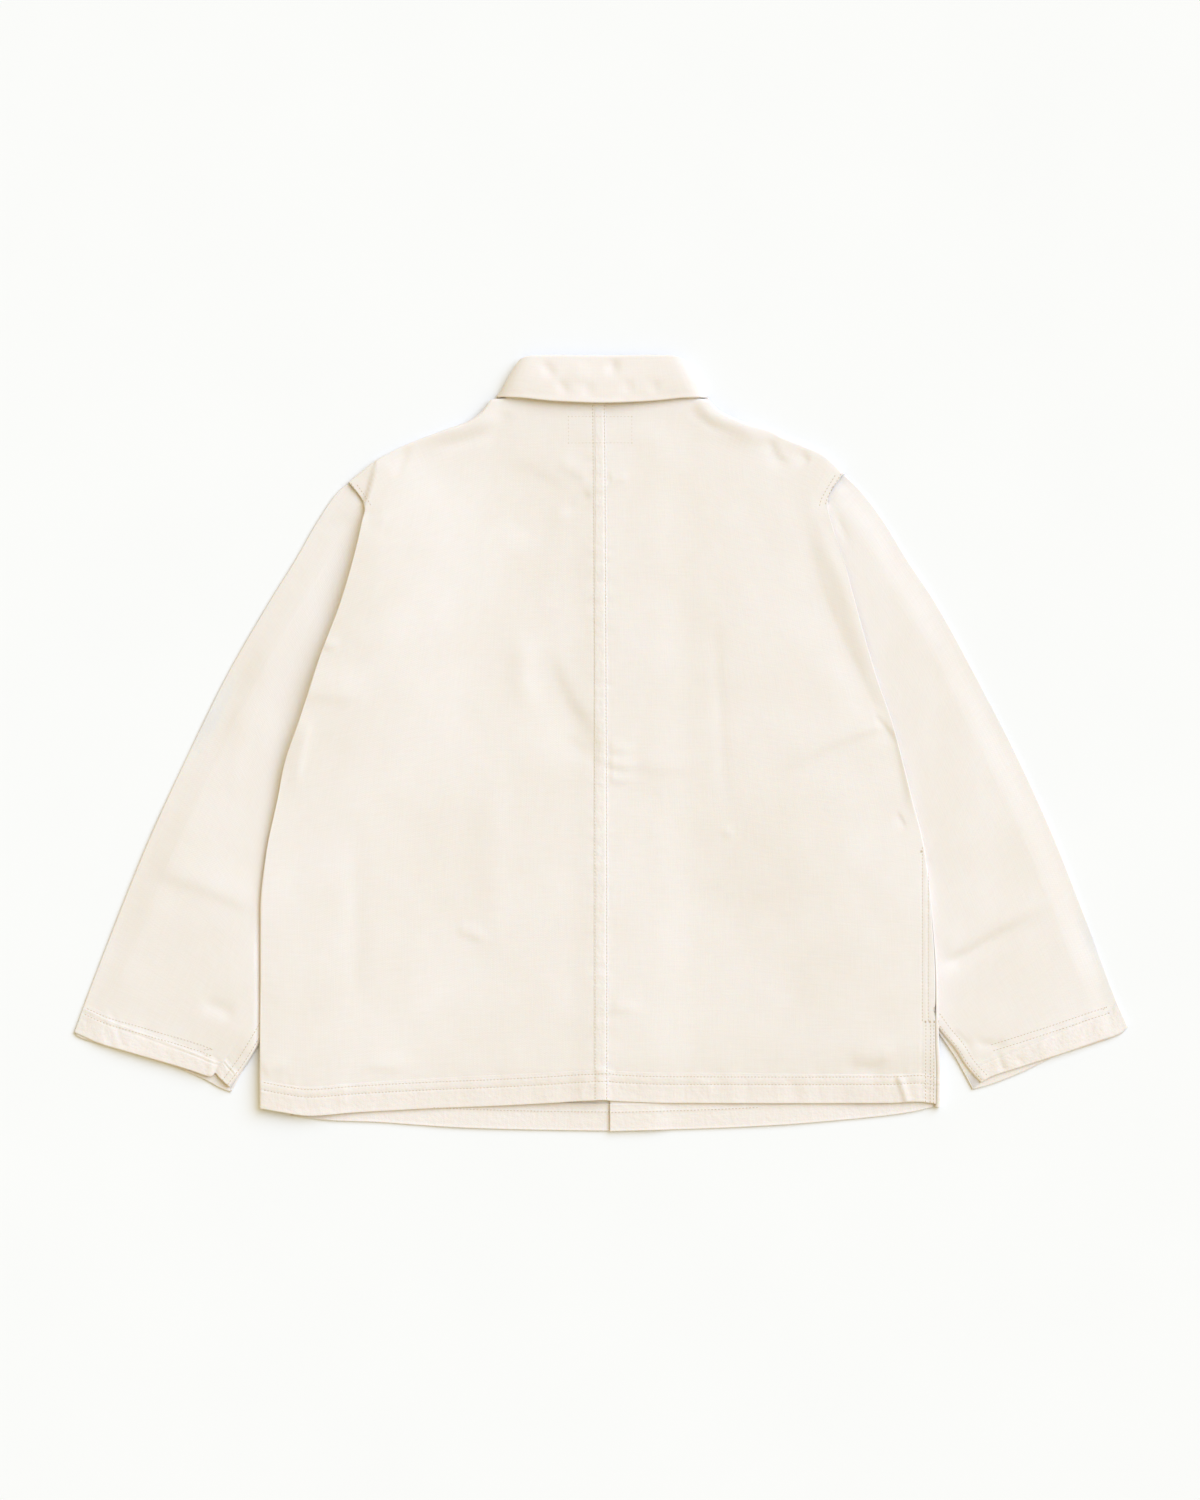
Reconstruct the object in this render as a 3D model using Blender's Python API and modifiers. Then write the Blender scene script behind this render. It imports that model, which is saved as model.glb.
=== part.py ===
"""Work overshirt of heavy cotton twill, laid out flat on its front with the sleeves drawn down.

The back shows from above, +Y runs towards the collar and +X to the wearer's right. The origin lies on
the floor under the middle of the garment. Tables and constants are in millimetres. Every piece of cloth
is an open sheet, its outer face, with a Solidify that grows the wall towards the inside of the garment.
"""

import math
from collections import namedtuple

import bmesh
import bpy
import numpy as np

MM = 0.001
LEFT, RIGHT = -1, 1  # the wearer's left lies at -X, because the back faces up

# Cloth and seams
CLOTH = 1.4  # one ply with the air that it holds
HEM_CLOTH = 2.2  # turned hems
COLLAR_CLOTH = 1.8  # two plies of a collar, pressed
BAG_CLOTH = 1.0  # pocketing
SEAM = 0.3  # between pieces that are sewn together
ARMHOLE_GAP = 1.1  # between the armhole line and the sleeve, whose columns cut its curve
ARMPIT_EASE = 8.0  # the sleeve's root stops this far above the armpit, where four layers cross
SIDE_GAP = 0.3  # each side of a side seam, which runs round the fold
NECK_GAP = 2.2  # between the curved neck edge of a front and the collar, whose sections cut the curve
NECK_CORNER = 6.0  # the front's corner at the shoulder stops this far short of the collar
CREST_GAP = 0.7  # each side of the shoulder seam, where the walls meet on a round
HEM_DEPTH = 26.0
CUFF_DEPTH = 24.0

# How the layers lie on each other
SLEEVE_HEIGHT = 5.2  # a sleeve lies as a flat tube of this height
SLEEVE_CROWN = 0.8  # its upper layer stands this much higher along the middle of what shows
SLEEVE_SHOWS = 0.62  # share of its width that the body never covers
BACK_REST = 6.6  # outer face of the back where only the fronts are below it
BACK_OVER_PLACKET = 1.6  # how much higher it lies over the lapped fronts
NECK_REST = 0.4  # how much higher it lies at the neck seam
SIDE_SLOPE = 70.0  # the back rises over this width to its side folds

# Lapped fronts and buttons
RIGHT_FRONT_EDGE = 7.3  # X of the wearer's right front edge, which lies on the left front
LEFT_FRONT_EDGE = 41.0
CENTRE_FRONT = 24.0
PLACKET_LIFT = 2.8  # the left front lies this high over the buttons and the collar leaf
PLACKET_SLOPE = 26.0
BUTTON_COUNT, BUTTON_TOP_Y, BUTTON_PITCH = 6, 226.0, 98.0
BUTTON_RADIUS, BUTTON_HEIGHT = 8.5, 2.4
BUTTON_HOLE_RADIUS, BUTTON_HOLE_OFFSET = 1.0, 1.9
PLACKET_FALL_Y = -345.0  # here the placket is back on the floor
PLACKET_FALL = 55.0
FRONT_HEM_TOP_Y = -340.0
BACK_HEM_TOP_Y = -311.0

# Centre back seam, a lap of the left half over the right half
LAP_WIDTH = 10.5
LAP_SLOPE = 9.0
LAP_GAP = 0.5

# Collar
COLLAR_MIDDLE_Z = 5.6
STAND_RING = 0.5  # half the gap between the stands of back and front
COLLAR_GAP = 1.5  # between stand and leaf
LEAF_REACH = 116.0  # the front is lifted this far from the middle of the neck, over the leaf
NECK_MIDDLE = (4.0, 298.0)

# In-seam pocket
SLIT_TOP, SLIT_BOTTOM = -106.0, -262.0
SLIT_OPEN = 0.7
BAG_WIDTH, BAG_TOP, BAG_BOTTOM = 150.0, -112.0, -304.0
BAG_GAP = 0.4
BAG_CLEAR = 6.0  # the bag keeps this far inside the slope of the tucked front
BAG_SHOULDER = 60.0  # below the slit the bag's outer edge lies this much further in

# One side of the body, a row for each height y. `fold` is how far out the visible edge lies, `foot` is
# the armhole above the armpit and the foot of the tucked flap below it, `sleeve` is the inner fold of
# the sleeve, and `seam` is the seam's way round the fold, negative on top. `top` and `under` are the
# heights of the outer face of the back and of the flap that is tucked below it.
Side = namedtuple("Side", "y fold foot sleeve seam top under")
LEFT_SIDE = [
    Side(-346, 325.0, 296.0, 352.0, 29.0, 5.8, 0.0),
    Side(-320, 325.0, 293.0, 342.0, 32.0, 7.4, 1.8),
    Side(-285, 324.5, 290.0, 326.0, 34.5, 10.4, 5.6),
    Side(-215, 324.0, 281.0, 305.0, 43.0, 10.4, 5.6),
    Side(-158, 324.0, 273.0, 292.0, 51.0, 10.4, 5.6),
    Side(-105, 319.0, 265.0, 282.0, 54.0, 10.4, 5.6),
    Side(-52, 308.0, 257.0, 270.0, 51.0, 10.4, 5.6),
    Side(-20, 302.0, 252.0, 260.0, 50.0, 10.4, 5.6),
    Side(28, 286.0, 240.0, 240.0, 46.0, 10.4, 5.6),
    Side(81, 269.0, 231.0, 231.0, 38.0, 10.4, 5.6),
    Side(134, 249.0, 221.0, 221.0, 28.0, 10.4, 5.6),
    Side(188, 233.5, 219.5, 219.5, 14.0, 10.4, 5.6),
    Side(214, 227.5, 222.5, 222.5, 5.0, 10.4, 5.6),
    Side(226, 227.7, 226.4, 226.4, 1.3, 10.2, 5.4),
    Side(231, 228.5, 228.5, 228.5, 0.0, 8.2, 3.4),
    Side(248, 242.8, 240.4, 240.4, -2.4, 5.8, 1.0),
]
RIGHT_SIDE = [
    Side(-342, 321.0, 314.0, 352.0, -4.5, 5.8, 0.0),
    Side(-318, 321.0, 309.0, 342.0, -4.3, 8.0, 1.8),
    Side(-282, 319.5, 297.0, 325.0, -4.0, 11.6, 5.6),
    Side(-220, 317.8, 275.0, 306.0, -2.0, 11.6, 5.6),
    Side(-153, 312.5, 255.0, 288.0, -1.0, 11.6, 5.6),
    Side(-101, 306.0, 243.0, 274.0, 0.0, 11.6, 5.6),
    Side(-54, 294.5, 238.0, 260.0, 28.0, 11.0, 5.6),
    Side(-20, 286.0, 237.0, 247.0, 49.0, 10.4, 5.6),
    Side(22, 274.6, 232.6, 232.6, 42.0, 10.4, 5.6),
    Side(60, 261.3, 226.3, 226.3, 35.0, 10.4, 5.6),
    Side(98, 250.0, 221.0, 221.0, 29.0, 10.4, 5.6),
    Side(136, 239.4, 217.4, 217.4, 22.0, 10.4, 5.6),
    Side(174, 229.0, 215.0, 215.0, 14.0, 10.4, 5.6),
    Side(212, 216.8, 211.8, 211.8, 5.0, 10.4, 5.6),
    Side(222, 214.6, 213.3, 213.3, 1.3, 10.2, 5.4),
    Side(228, 214.0, 214.0, 214.0, 0.0, 8.2, 3.4),
    Side(257, 231.4, 229.0, 229.0, -2.4, 5.8, 1.0),
]
SIDES = {LEFT: LEFT_SIDE, RIGHT: RIGHT_SIDE}
ARMPIT_Y = -20.0

# Outlines, from the middle outwards. `out` is the distance from the middle towards the piece's side.
Point = namedtuple("Point", "out y")
SHOULDER = {
    LEFT: [
        Point(104.0, 321.5),
        Point(113.0, 315.5),
        Point(125.4, 307.3),
        Point(150.0, 298.0),
        Point(180.0, 288.3),
        Point(198.0, 279.0),
        Point(215.0, 269.3),
        Point(228.0, 259.5),
    ],
    RIGHT: [
        Point(104.0, 321.5),
        Point(112.0, 316.0),
        Point(134.0, 307.3),
        Point(161.0, 298.0),
        Point(182.5, 288.3),
        Point(204.5, 279.0),
        Point(218.0, 269.3),
    ],
}
BACK_HEM = {
    LEFT: [
        Point(11.0, -338.7),
        Point(54.0, -341.5),
        Point(110.0, -344.4),
        Point(163.0, -346.5),
        Point(238.0, -350.5),
        Point(277.0, -353.2),
        Point(305.0, -349.5),
    ],
    RIGHT: [
        Point(17.0, -339.6),
        Point(65.0, -341.3),
        Point(169.0, -341.6),
        Point(273.0, -341.3),
        Point(300.0, -340.0),
    ],
}
FRONT_HEM = {
    LEFT: [
        Point(-20.0, -368.0),
        Point(54.0, -367.2),
        Point(133.0, -365.0),
        Point(178.0, -362.2),
        Point(215.0, -360.6),
        Point(258.0, -360.0),
    ],
    RIGHT: [
        Point(43.0, -367.3),
        Point(93.0, -366.0),
        Point(169.0, -362.4),
        Point(218.0, -359.6),
        Point(267.0, -356.7),
        Point(296.0, -352.5),
    ],
}
CENTRE_BACK = {
    LEFT: [Point(-5.5, -338.0), Point(-5.5, -200.0), Point(-3.8, 250.0), Point(-3.0, 329.5)],
    RIGHT: [Point(5.5, -338.0), Point(5.5, -200.0), Point(3.8, 250.0), Point(3.0, 329.5)],
}
SLEEVE_OUTER = {
    LEFT: [
        Point(249.0, 240.8),
        Point(271.7, 212.3),
        Point(317.3, 136.3),
        Point(360.0, 60.3),
        Point(397.0, -15.7),
        Point(432.3, -91.7),
        Point(462.7, -167.7),
        Point(491.2, -243.7),
    ],
    RIGHT: [
        Point(245.0, 240.8),
        Point(268.0, 212.3),
        Point(316.4, 136.3),
        Point(357.2, 60.3),
        Point(396.2, -15.7),
        Point(430.4, -91.7),
        Point(460.0, -167.7),
        Point(488.3, -243.7),
    ],
}
CUFF = {
    LEFT: [
        Point(501.5, -274.5),
        Point(478.8, -281.7),
        Point(442.2, -292.1),
        Point(405.7, -304.0),
        Point(374.3, -315.0),
        Point(352.0, -328.0),
    ],
    RIGHT: [
        Point(499.5, -269.0),
        Point(494.0, -274.5),
        Point(468.4, -283.6),
        Point(440.8, -293.1),
        Point(408.5, -303.5),
        Point(372.0, -315.0),
        Point(356.0, -324.5),
    ],
}

# Half the collar, a row for each section from the centre back to the centre front. `turn` is how far
# the ring has turned from facing up, and `shift` how far a row moves with the lapped fronts.
Section = namedtuple(
    "Section", "turn neck_out neck_y fold_out fold_y leaf_out leaf_y shift swell stand_lift"
)
COLLAR = [
    Section(0, 0, 330, 0, 368, 0, 322.5, 0.0, 1.5, 0.0),
    Section(0, 42, 330, 38, 368.5, 42, 324, 0.0, 1.5, 0.0),
    Section(12, 76, 328, 63, 368, 78, 327, 0.0, 1.8, 0.0),
    Section(90, 91, 322, 68, 363, 95, 327.5, 0.0, 3.5, 0.0),
    Section(130, 91, 317, 68, 358, 99, 324.5, 0.0, 0.0, 0.0),
    Section(168, 90, 309, 67, 349, 103, 307, 0.08, 0.0, 0.0),
    Section(180, 87, 300, 63, 337, 104, 288, 0.2, 0.0, 0.0),
    Section(180, 75, 280, 50, 310, 98, 260, 0.4, 0.0, 0.0),
    Section(180, 50, 258, 32, 292, 77, 227, 0.7, 0.0, 0.4),
    Section(180, 24, 246, 16, 284, 54, 208, 0.9, 0.0, 1.2),
    Section(180, 2, 241.5, 1, 279, 36, 200, 1.0, 0.0, 1.7),
]

CREAM = (0.88, 0.82, 0.72)
BONE = (0.80, 0.74, 0.64)
POCKETING = (0.84, 0.80, 0.72)


def ease(share):
    """0 to 1 with soft ends."""
    share = np.clip(share, 0.0, 1.0)
    return share * share * (3.0 - 2.0 * share)


def smooth(places, values, at):
    """Values read from a smooth curve through a table's rows that never swings past them."""
    places, values, at = (np.asarray(part, float) for part in (places, values, at))
    gaps = np.diff(places)
    slopes = np.diff(values) / gaps
    both = slopes[1:] * slopes[:-1]
    inner = np.where(both > 0, 2 * both / np.where(both > 0, slopes[1:] + slopes[:-1], 1), 0)
    slopes = np.concatenate([slopes[:1], inner, slopes[-1:]])
    index = np.clip(np.searchsorted(places, at) - 1, 0, len(gaps) - 1)
    gap = gaps[index]
    t = np.clip((at - places[index]) / gap, 0.0, 1.0)
    start, end = values[index], values[index + 1]
    leave, arrive = slopes[index] * gap, slopes[index + 1] * gap
    cubic = leave + arrive + 2 * (start - end)
    square = 3 * (end - start) - 2 * leave - arrive
    return start + t * (leave + t * (square + t * cubic))


def column(rows, name, at_y):
    """A column of a side's table at the heights at_y."""
    return smooth([row.y for row in rows], [getattr(row, name) for row in rows], at_y)


def line(points):
    """A smooth line through points, as a function of the share of its length."""
    points = np.array(points, float)
    lengths = np.linalg.norm(np.diff(points, axis=0), axis=1)
    places = np.concatenate([[0.0], np.cumsum(lengths)]) / lengths.sum()

    def at(share):
        return np.stack([smooth(places, points[:, i], share) for i in range(2)], axis=-1)

    return at


def patch(bottom, top, inner, outer, across, up):
    """Points of a sheet held between four edge lines."""
    u, v = across[..., None], up[..., None]
    zero, one = np.zeros_like(across), np.ones_like(across)
    between = (1 - v) * bottom(across) + v * top(across) + (1 - u) * inner(up) + u * outer(up)
    corners = (1 - u) * ((1 - v) * bottom(zero) + v * top(zero))
    return between - corners - u * ((1 - v) * bottom(one) + v * top(one))


def left_front_height(x, y):
    """Outer face of the left front: on the floor, but over the buttons and the collar leaf."""
    over_buttons = ease((x - (RIGHT_FRONT_EDGE - PLACKET_SLOPE)) / PLACKET_SLOPE)
    over_buttons = over_buttons * ease((y - PLACKET_FALL_Y) / PLACKET_FALL)
    return PLACKET_LIFT * np.maximum(over_buttons, over_leaf(x, y))


def over_leaf(x, y):
    """1 where the collar leaf lies under a front, 0 clear of it."""
    reach = np.hypot(x - NECK_MIDDLE[0], y - NECK_MIDDLE[1])
    return 1 - ease((reach - LEAF_REACH) / PLACKET_SLOPE)


def right_front_height(x, y):
    """Outer face of the right front: it lies on the left front where they lap."""
    hem = 1 - ease((y - FRONT_HEM_TOP_Y) / 12.0)
    left = left_front_height(np.minimum(x, LEFT_FRONT_EDGE), y)
    lapped = left + CLOTH + hem * (HEM_CLOTH - CLOTH) + SEAM
    lap = 1 - ease((x - LEFT_FRONT_EDGE - 4.0) / PLACKET_SLOPE)
    return lapped * lap + PLACKET_LIFT * over_leaf(x, y) * (1 - lap)


def front_height(side, out, y):
    return left_front_height(-out, y) if side == LEFT else right_front_height(out, y)


def back_height(side, out, y):
    """Outer face of the back: level over the fronts, higher over the placket, the lap and the sides."""
    rows = SIDES[side]
    x = side * out
    placket = ease((x - RIGHT_FRONT_EDGE + 40) / 34) * (1 - ease((x - LEFT_FRONT_EDGE - 6) / 40))
    placket = placket * (1 - ease((y - 286.0) / 26.0))
    height = BACK_REST + BACK_OVER_PLACKET * placket + NECK_REST * ease((y - 285.0) / 30.0)
    foot = column(rows, "foot", y)
    rise = ease((out - (foot - SIDE_SLOPE)) / SIDE_SLOPE)
    height = height + (column(rows, "top", y) - height) * rise
    if side == LEFT:
        edge = -out - centre_back_x(y)
        hem = 1 - ease((y - BACK_HEM_TOP_Y) / 12.0)
        lift = CLOTH + hem * (HEM_CLOTH - CLOTH) + LAP_GAP
        height = height + lift * ease((edge + LAP_WIDTH + 3.0 + LAP_SLOPE) / LAP_SLOPE)
    return height


def centre_back_x(y):
    """X of the lapped edge at the centre back."""
    rows = CENTRE_BACK[RIGHT]
    return smooth([row.y for row in rows], [row.out for row in rows], y)


def round_fold(rows, y, way, falls=1.0):
    """(out, z) at a way round the side fold: negative on the back, positive on the flap below it."""
    fold, foot, sleeve, top, under = (
        column(rows, name, y) for name in ("fold", "foot", "sleeve", "top", "under")
    )
    radius = (top - under) / 2
    inwards = 1 - np.clip(np.abs(way) / radius, 0, 1)
    rise = radius * np.sqrt(1 - inwards**2)
    z = (top + under) / 2 - np.sign(way) * rise
    start = fold - sleeve + 1.5
    start = np.minimum(start, fold - foot)
    step = ease((way - start + 1e-6) / (fold - foot - start + 1e-6))
    on_floor = way > radius
    return fold - np.abs(way), np.where(on_floor, under * (1 - falls * step), z)


# Heights at which every panel of a side has a row, so that sewn edges follow one line
LEVELS = {
    LEFT: [-285, -250, -215, -186, -158, -131, -105, -78, -52, -36, -20, 4, 28, 54, 81, 108, 134, 161]
    + [188, 202, 214, 226, 231],
    RIGHT: [-282, -250, -220, -186, -153, -127, -101, -78, -54, -37, -20, 1, 22, 41, 60, 79, 98, 117]
    + [136, 155, 174, 193, 212, 222, 228],
}
FOLD_ANGLES = (62, 36, 12)  # degrees up from the fold's crest
FOLD_REACH = 12.0
FLAP_SHARES = (0.0, 0.4, 0.75, 1.0)
STEP_SHARES = (0.2, 0.4, 0.6, 0.8, 1.0)


def fold_ways(rows, y):
    """Ways round the fold at which a sheet has a column, one row for each height y."""
    fold, foot, sleeve, top, under = (
        column(rows, name, y) for name in ("fold", "foot", "sleeve", "top", "under")
    )
    radius = (top - under) / 2
    start = np.maximum(np.minimum(fold - sleeve + 1.5, fold - foot), radius)
    bends = [radius * (1 - math.cos(math.radians(angle))) for angle in FOLD_ANGLES]
    ways = [-bend for bend in bends] + bends[::-1]
    ways += [radius + share * (start - radius) for share in FLAP_SHARES]
    ways += [start + share * (fold - foot - start) for share in STEP_SHARES]
    return np.stack(ways, axis=-1)


def seam_way(side, y, towards):
    """The side seam's way round the fold, less or more by half the gap there."""
    slit = 0.0
    if side == RIGHT:
        slit = SLIT_OPEN * ease((y - SLIT_BOTTOM) / 12) * ease((SLIT_TOP - y) / 12)
    return column(SIDES[side], "seam", y) + towards * (SIDE_GAP + slit)


def neck_points(side, rows):
    return [Point(row.neck_out + side * row.shift * CENTRE_FRONT, row.neck_y) for row in rows]


def clear_of_neck(point):
    """The point moved out from the middle of the neck by the gap that a front keeps to the collar."""
    away = np.array([point.out, point.y]) - np.array([0.0, NECK_MIDDLE[1]])
    away = away / np.linalg.norm(away) * NECK_GAP
    return Point(point.out + away[0], point.y + away[1])


def tip(side):
    row = SIDES[side][-1]
    return Point(row.foot, row.y)


def shoulder_roll(points, inner_share, across, roll, other_z):
    """Turns the last rows down, or up, so that back and front meet at the crest of the shoulder."""
    share = ease((across - inner_share) / 0.03)
    middle = (points[..., 2] + other_z) / 2 + np.sign(points[..., 2] - other_z) * CREST_GAP
    turned = middle + (points[..., 2] - middle) * roll
    points[..., 2] += (turned - points[..., 2]) * share
    return points


ROLL_ANGLES = (60, 30, 5)
ROLL_RADIUS = 3.0


def rows_up(outer, side, hem_depth):
    """Shares up a panel for its rows: the turned hem, the side's levels and the roll of the shoulder."""
    fine = np.linspace(0, 1, 400)
    places = outer(fine)
    length = np.linalg.norm(np.diff(places, axis=0), axis=1).sum()
    hem = [0.0, 0.5 * hem_depth, hem_depth, hem_depth + 4]
    levels = [y for y in LEVELS[side] if y > places[0, 1] + hem[-1] + 8]
    ends = [ROLL_RADIUS * (1 - math.cos(math.radians(angle))) for angle in (90,) + ROLL_ANGLES]
    shares = [depth / length for depth in hem]
    shares += list(np.interp(levels, places[:, 1], fine))
    shares += [1 - end / length for end in ends]
    rolls = [1.0] * (len(shares) - len(ROLL_ANGLES))
    rolls += [math.sin(math.radians(angle)) for angle in ROLL_ANGLES]
    return np.array(shares), np.array(rolls)


def back_panel(side):
    rows = SIDES[side]
    corner_y, tip_y = rows[0].y, rows[-1].y
    neck = neck_points(side, COLLAR[:4])
    centre = CENTRE_BACK[side]
    centre = [Point(centre[0].out, centre[0].y)] + centre[1:]
    if side == RIGHT:
        centre = [Point(point.out - LAP_WIDTH, point.y) for point in centre]
    edge_y = np.linspace(corner_y, tip_y, 60)
    radius = (column(rows, "top", edge_y) - column(rows, "under", edge_y)) / 2
    fold_start = column(rows, "fold", edge_y) - np.maximum(radius, -seam_way(side, edge_y, -1))
    outer = line(np.stack([fold_start, edge_y], axis=-1))
    top = [centre[-1]] + neck[1:3] + [Point(neck[3].out, neck[3].y - SEAM)] + SHOULDER[side]
    top.append(Point(fold_start[-1], tip_y))
    top = [Point(point.out, point.y - (SEAM if i < 3 else 0)) for i, point in enumerate(top)]
    bottom = [centre[0]] + BACK_HEM[side] + [Point(fold_start[0], corner_y)]
    lengths = np.linalg.norm(np.diff(np.array(top), axis=0), axis=1)
    neck_share = lengths[:3].sum() / lengths.sum()
    if side == LEFT:
        near = np.array([0.0, 6.0, LAP_WIDTH + 3, LAP_WIDTH + 8, LAP_WIDTH + 14, 40.0])
    else:
        near = np.array([0.0, 12.0, 28.0, 44.0])
    near = near / lengths.sum()
    far = [neck_share - 0.09, neck_share, neck_share + 0.04]
    far += list(np.linspace(neck_share + 0.1, 1.0, 9))
    across = np.concatenate([near, far])
    up, rolls = rows_up(outer, side, HEM_DEPTH)
    u, v = np.meshgrid(across, up)
    plan = patch(line(bottom), line(top), line(centre), outer, u, v)
    z = back_height(side, plan[..., 0], plan[..., 1])
    main = np.concatenate([plan, z[..., None]], axis=-1)
    other = front_height(side, plan[..., 0], plan[..., 1])
    main = shoulder_roll(main, neck_share, u, rolls[:, None], other)
    y = outer(up)[:, 1]
    ways = np.minimum(fold_ways(rows, y), seam_way(side, y, -1)[:, None])
    falls = 0.0
    if side == LEFT:
        falls = np.clip((column(rows, "sleeve", y) - column(rows, "foot", y)) / 12.0, 0, 1)
        falls = np.where(y > ARMPIT_Y, 0.0, falls)[:, None]
    out, z = round_fold(rows, y[:, None], ways, falls)
    flap = np.stack([out, np.broadcast_to(y[:, None], out.shape), z], axis=-1)
    other = np.zeros_like(z)
    flap = shoulder_roll(flap, neck_share, np.ones_like(z), rolls[:, None], other)
    grid = np.concatenate([main, flap], axis=1)
    hem = np.broadcast_to((up <= up[2] + 1e-9)[:, None], grid.shape[:2])
    return grid, np.where(hem, HEM_CLOTH, CLOTH)


def front_panel(side):
    rows = SIDES[side]
    edge = -LEFT_FRONT_EDGE if side == LEFT else RIGHT_FRONT_EDGE
    edge_y = np.linspace(rows[0].y, rows[-1].y, 60)
    foot = column(rows, "foot", edge_y) - SEAM
    hem = FRONT_HEM[side]
    corner = Point(foot[0], -356.0 if side == LEFT else -350.0)
    neck = neck_points(side, COLLAR[6:])[::-1]
    neck = [clear_of_neck(point) for point in neck]
    top = [Point(edge, neck[0].y)] + neck
    top += [Point(COLLAR[3].neck_out + NECK_CORNER, COLLAR[3].neck_y - SEAM)] + SHOULDER[side]
    top.append(tip(side))
    outline = np.stack([foot, edge_y], axis=-1)
    outline[0] = corner
    outline = [p for p in outline if p[1] > corner.y + 8 or tuple(p) == tuple(corner)]
    outline[-1] = np.array(tip(side), float)
    bottom = [Point(edge, -368.1)] + hem + [corner]
    inner = [Point(edge, -368.1), Point(edge, top[0].y)]
    outer = line(outline)
    lengths = np.linalg.norm(np.diff(np.array(top), axis=0), axis=1)
    neck_share = lengths[: len(neck) + 1].sum() / lengths.sum()
    across = np.concatenate(
        [
            np.linspace(0, neck_share, 12),
            [neck_share + 0.04],
            np.linspace(neck_share + 0.14, 1.0, 6),
        ]
    )
    up, rolls = rows_up(outer, side, HEM_DEPTH)
    u, v = np.meshgrid(across, up)
    plan = patch(line(bottom), line(top), line(inner), outer, u, v)
    z = front_height(side, plan[..., 0], plan[..., 1])
    floor = np.concatenate([plan, z[..., None]], axis=-1)
    other = back_height(side, plan[..., 0], plan[..., 1])
    floor = shoulder_roll(floor, neck_share, u, rolls[:, None], other)
    grid = floor
    if side == RIGHT:
        y = np.maximum(outer(up)[:, 1], rows[0].y)
        ways = fold_ways(rows, y)
        ways = np.concatenate([np.full_like(ways[:, :1], -FOLD_REACH), ways], axis=1)
        ways = np.maximum(ways, seam_way(side, y, 1)[:, None])
        out, z = round_fold(rows, y[:, None], ways)
        high = np.broadcast_to(outer(up)[:, 1][:, None], out.shape)
        flap = np.stack([out, high, z], axis=-1)[:, ::-1]
        above = y > ARMPIT_Y
        flap[above] = floor[above][:, -1:]
        grid = np.concatenate([floor, flap[:, 1:]], axis=1)
    hemmed = np.broadcast_to((up <= up[2] + 1e-9)[:, None], grid.shape[:2])
    return grid, np.where(hemmed, HEM_CLOTH, CLOTH)


def sleeve_rings(side):
    """Rings of the flat sleeve from the armhole to the cuff, each starting on its upper layer."""
    rows = SIDES[side]
    root_y = np.linspace(rows[-1].y, ARMPIT_Y + ARMPIT_EASE, 24)
    root = np.stack([column(rows, "foot", root_y) + ARMHOLE_GAP, root_y], axis=-1)
    inner_y = np.linspace(ARMPIT_Y, -285.0, 8)
    inner = np.stack([column(rows, "sleeve", inner_y), inner_y], axis=-1)
    cuff = CUFF[side]
    outer = [tuple(root[0])] + SLEEVE_OUTER[side] + [cuff[0]]
    inner = [tuple(root[-1])] + [tuple(point) for point in inner[1:]] + [cuff[-1]]
    length = 560.0
    along = [0.0] + list(np.linspace(0.04, 1 - (CUFF_DEPTH + 4) / length, 15))
    along += [1 - CUFF_DEPTH / length, 1 - 0.5 * CUFF_DEPTH / length, 1.0]
    along = np.array(along)
    radius = SLEEVE_HEIGHT / 2
    crowned = SLEEVE_CROWN * ease((along - 0.3) / 0.25)
    edges = line(outer)(along), line(inner)(along)
    widths = np.linalg.norm(edges[0] - edges[1], axis=1)
    ends = [radius * (1 - math.cos(math.radians(angle))) for angle in (90, 60, 30, 0)]
    shares, heights = [], []
    spread = [0.1, 0.2, 0.31, 0.42, 0.52, SLEEVE_SHOWS, 0.84]
    for end, angle in zip(ends[::-1], (0, 30, 60, 90)):
        shares.append(end / widths)
        heights.append(np.full_like(widths, radius + radius * math.sin(math.radians(angle))))
    for share in spread:
        crown = math.sin(math.pi * min(share / SLEEVE_SHOWS, 1.0)) ** 2
        shares.append(np.full_like(widths, share))
        heights.append(SLEEVE_HEIGHT + crowned * crown)
    for end, angle in zip(ends, (90, 60, 30, 0)):
        shares.append(1 - end / widths)
        heights.append(np.full_like(widths, radius + radius * math.sin(math.radians(angle))))
    upper = len(shares)
    for i in range(upper - 2, 0, -1):
        shares.append(shares[i])
        heights.append(np.maximum(SLEEVE_HEIGHT - heights[i], 0.0))
    u = np.stack(shares, axis=-1)
    v = np.broadcast_to(along[:, None], u.shape)
    plan = patch(line(root), line(cuff), line(outer), line(inner), u, v)
    z = np.stack(heights, axis=-1)
    cuff_rows = np.broadcast_to((along >= along[-3] - 1e-9)[:, None], u.shape)
    return np.concatenate([plan, z[..., None]], axis=-1), np.where(cuff_rows, HEM_CLOTH, CLOTH)


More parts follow.
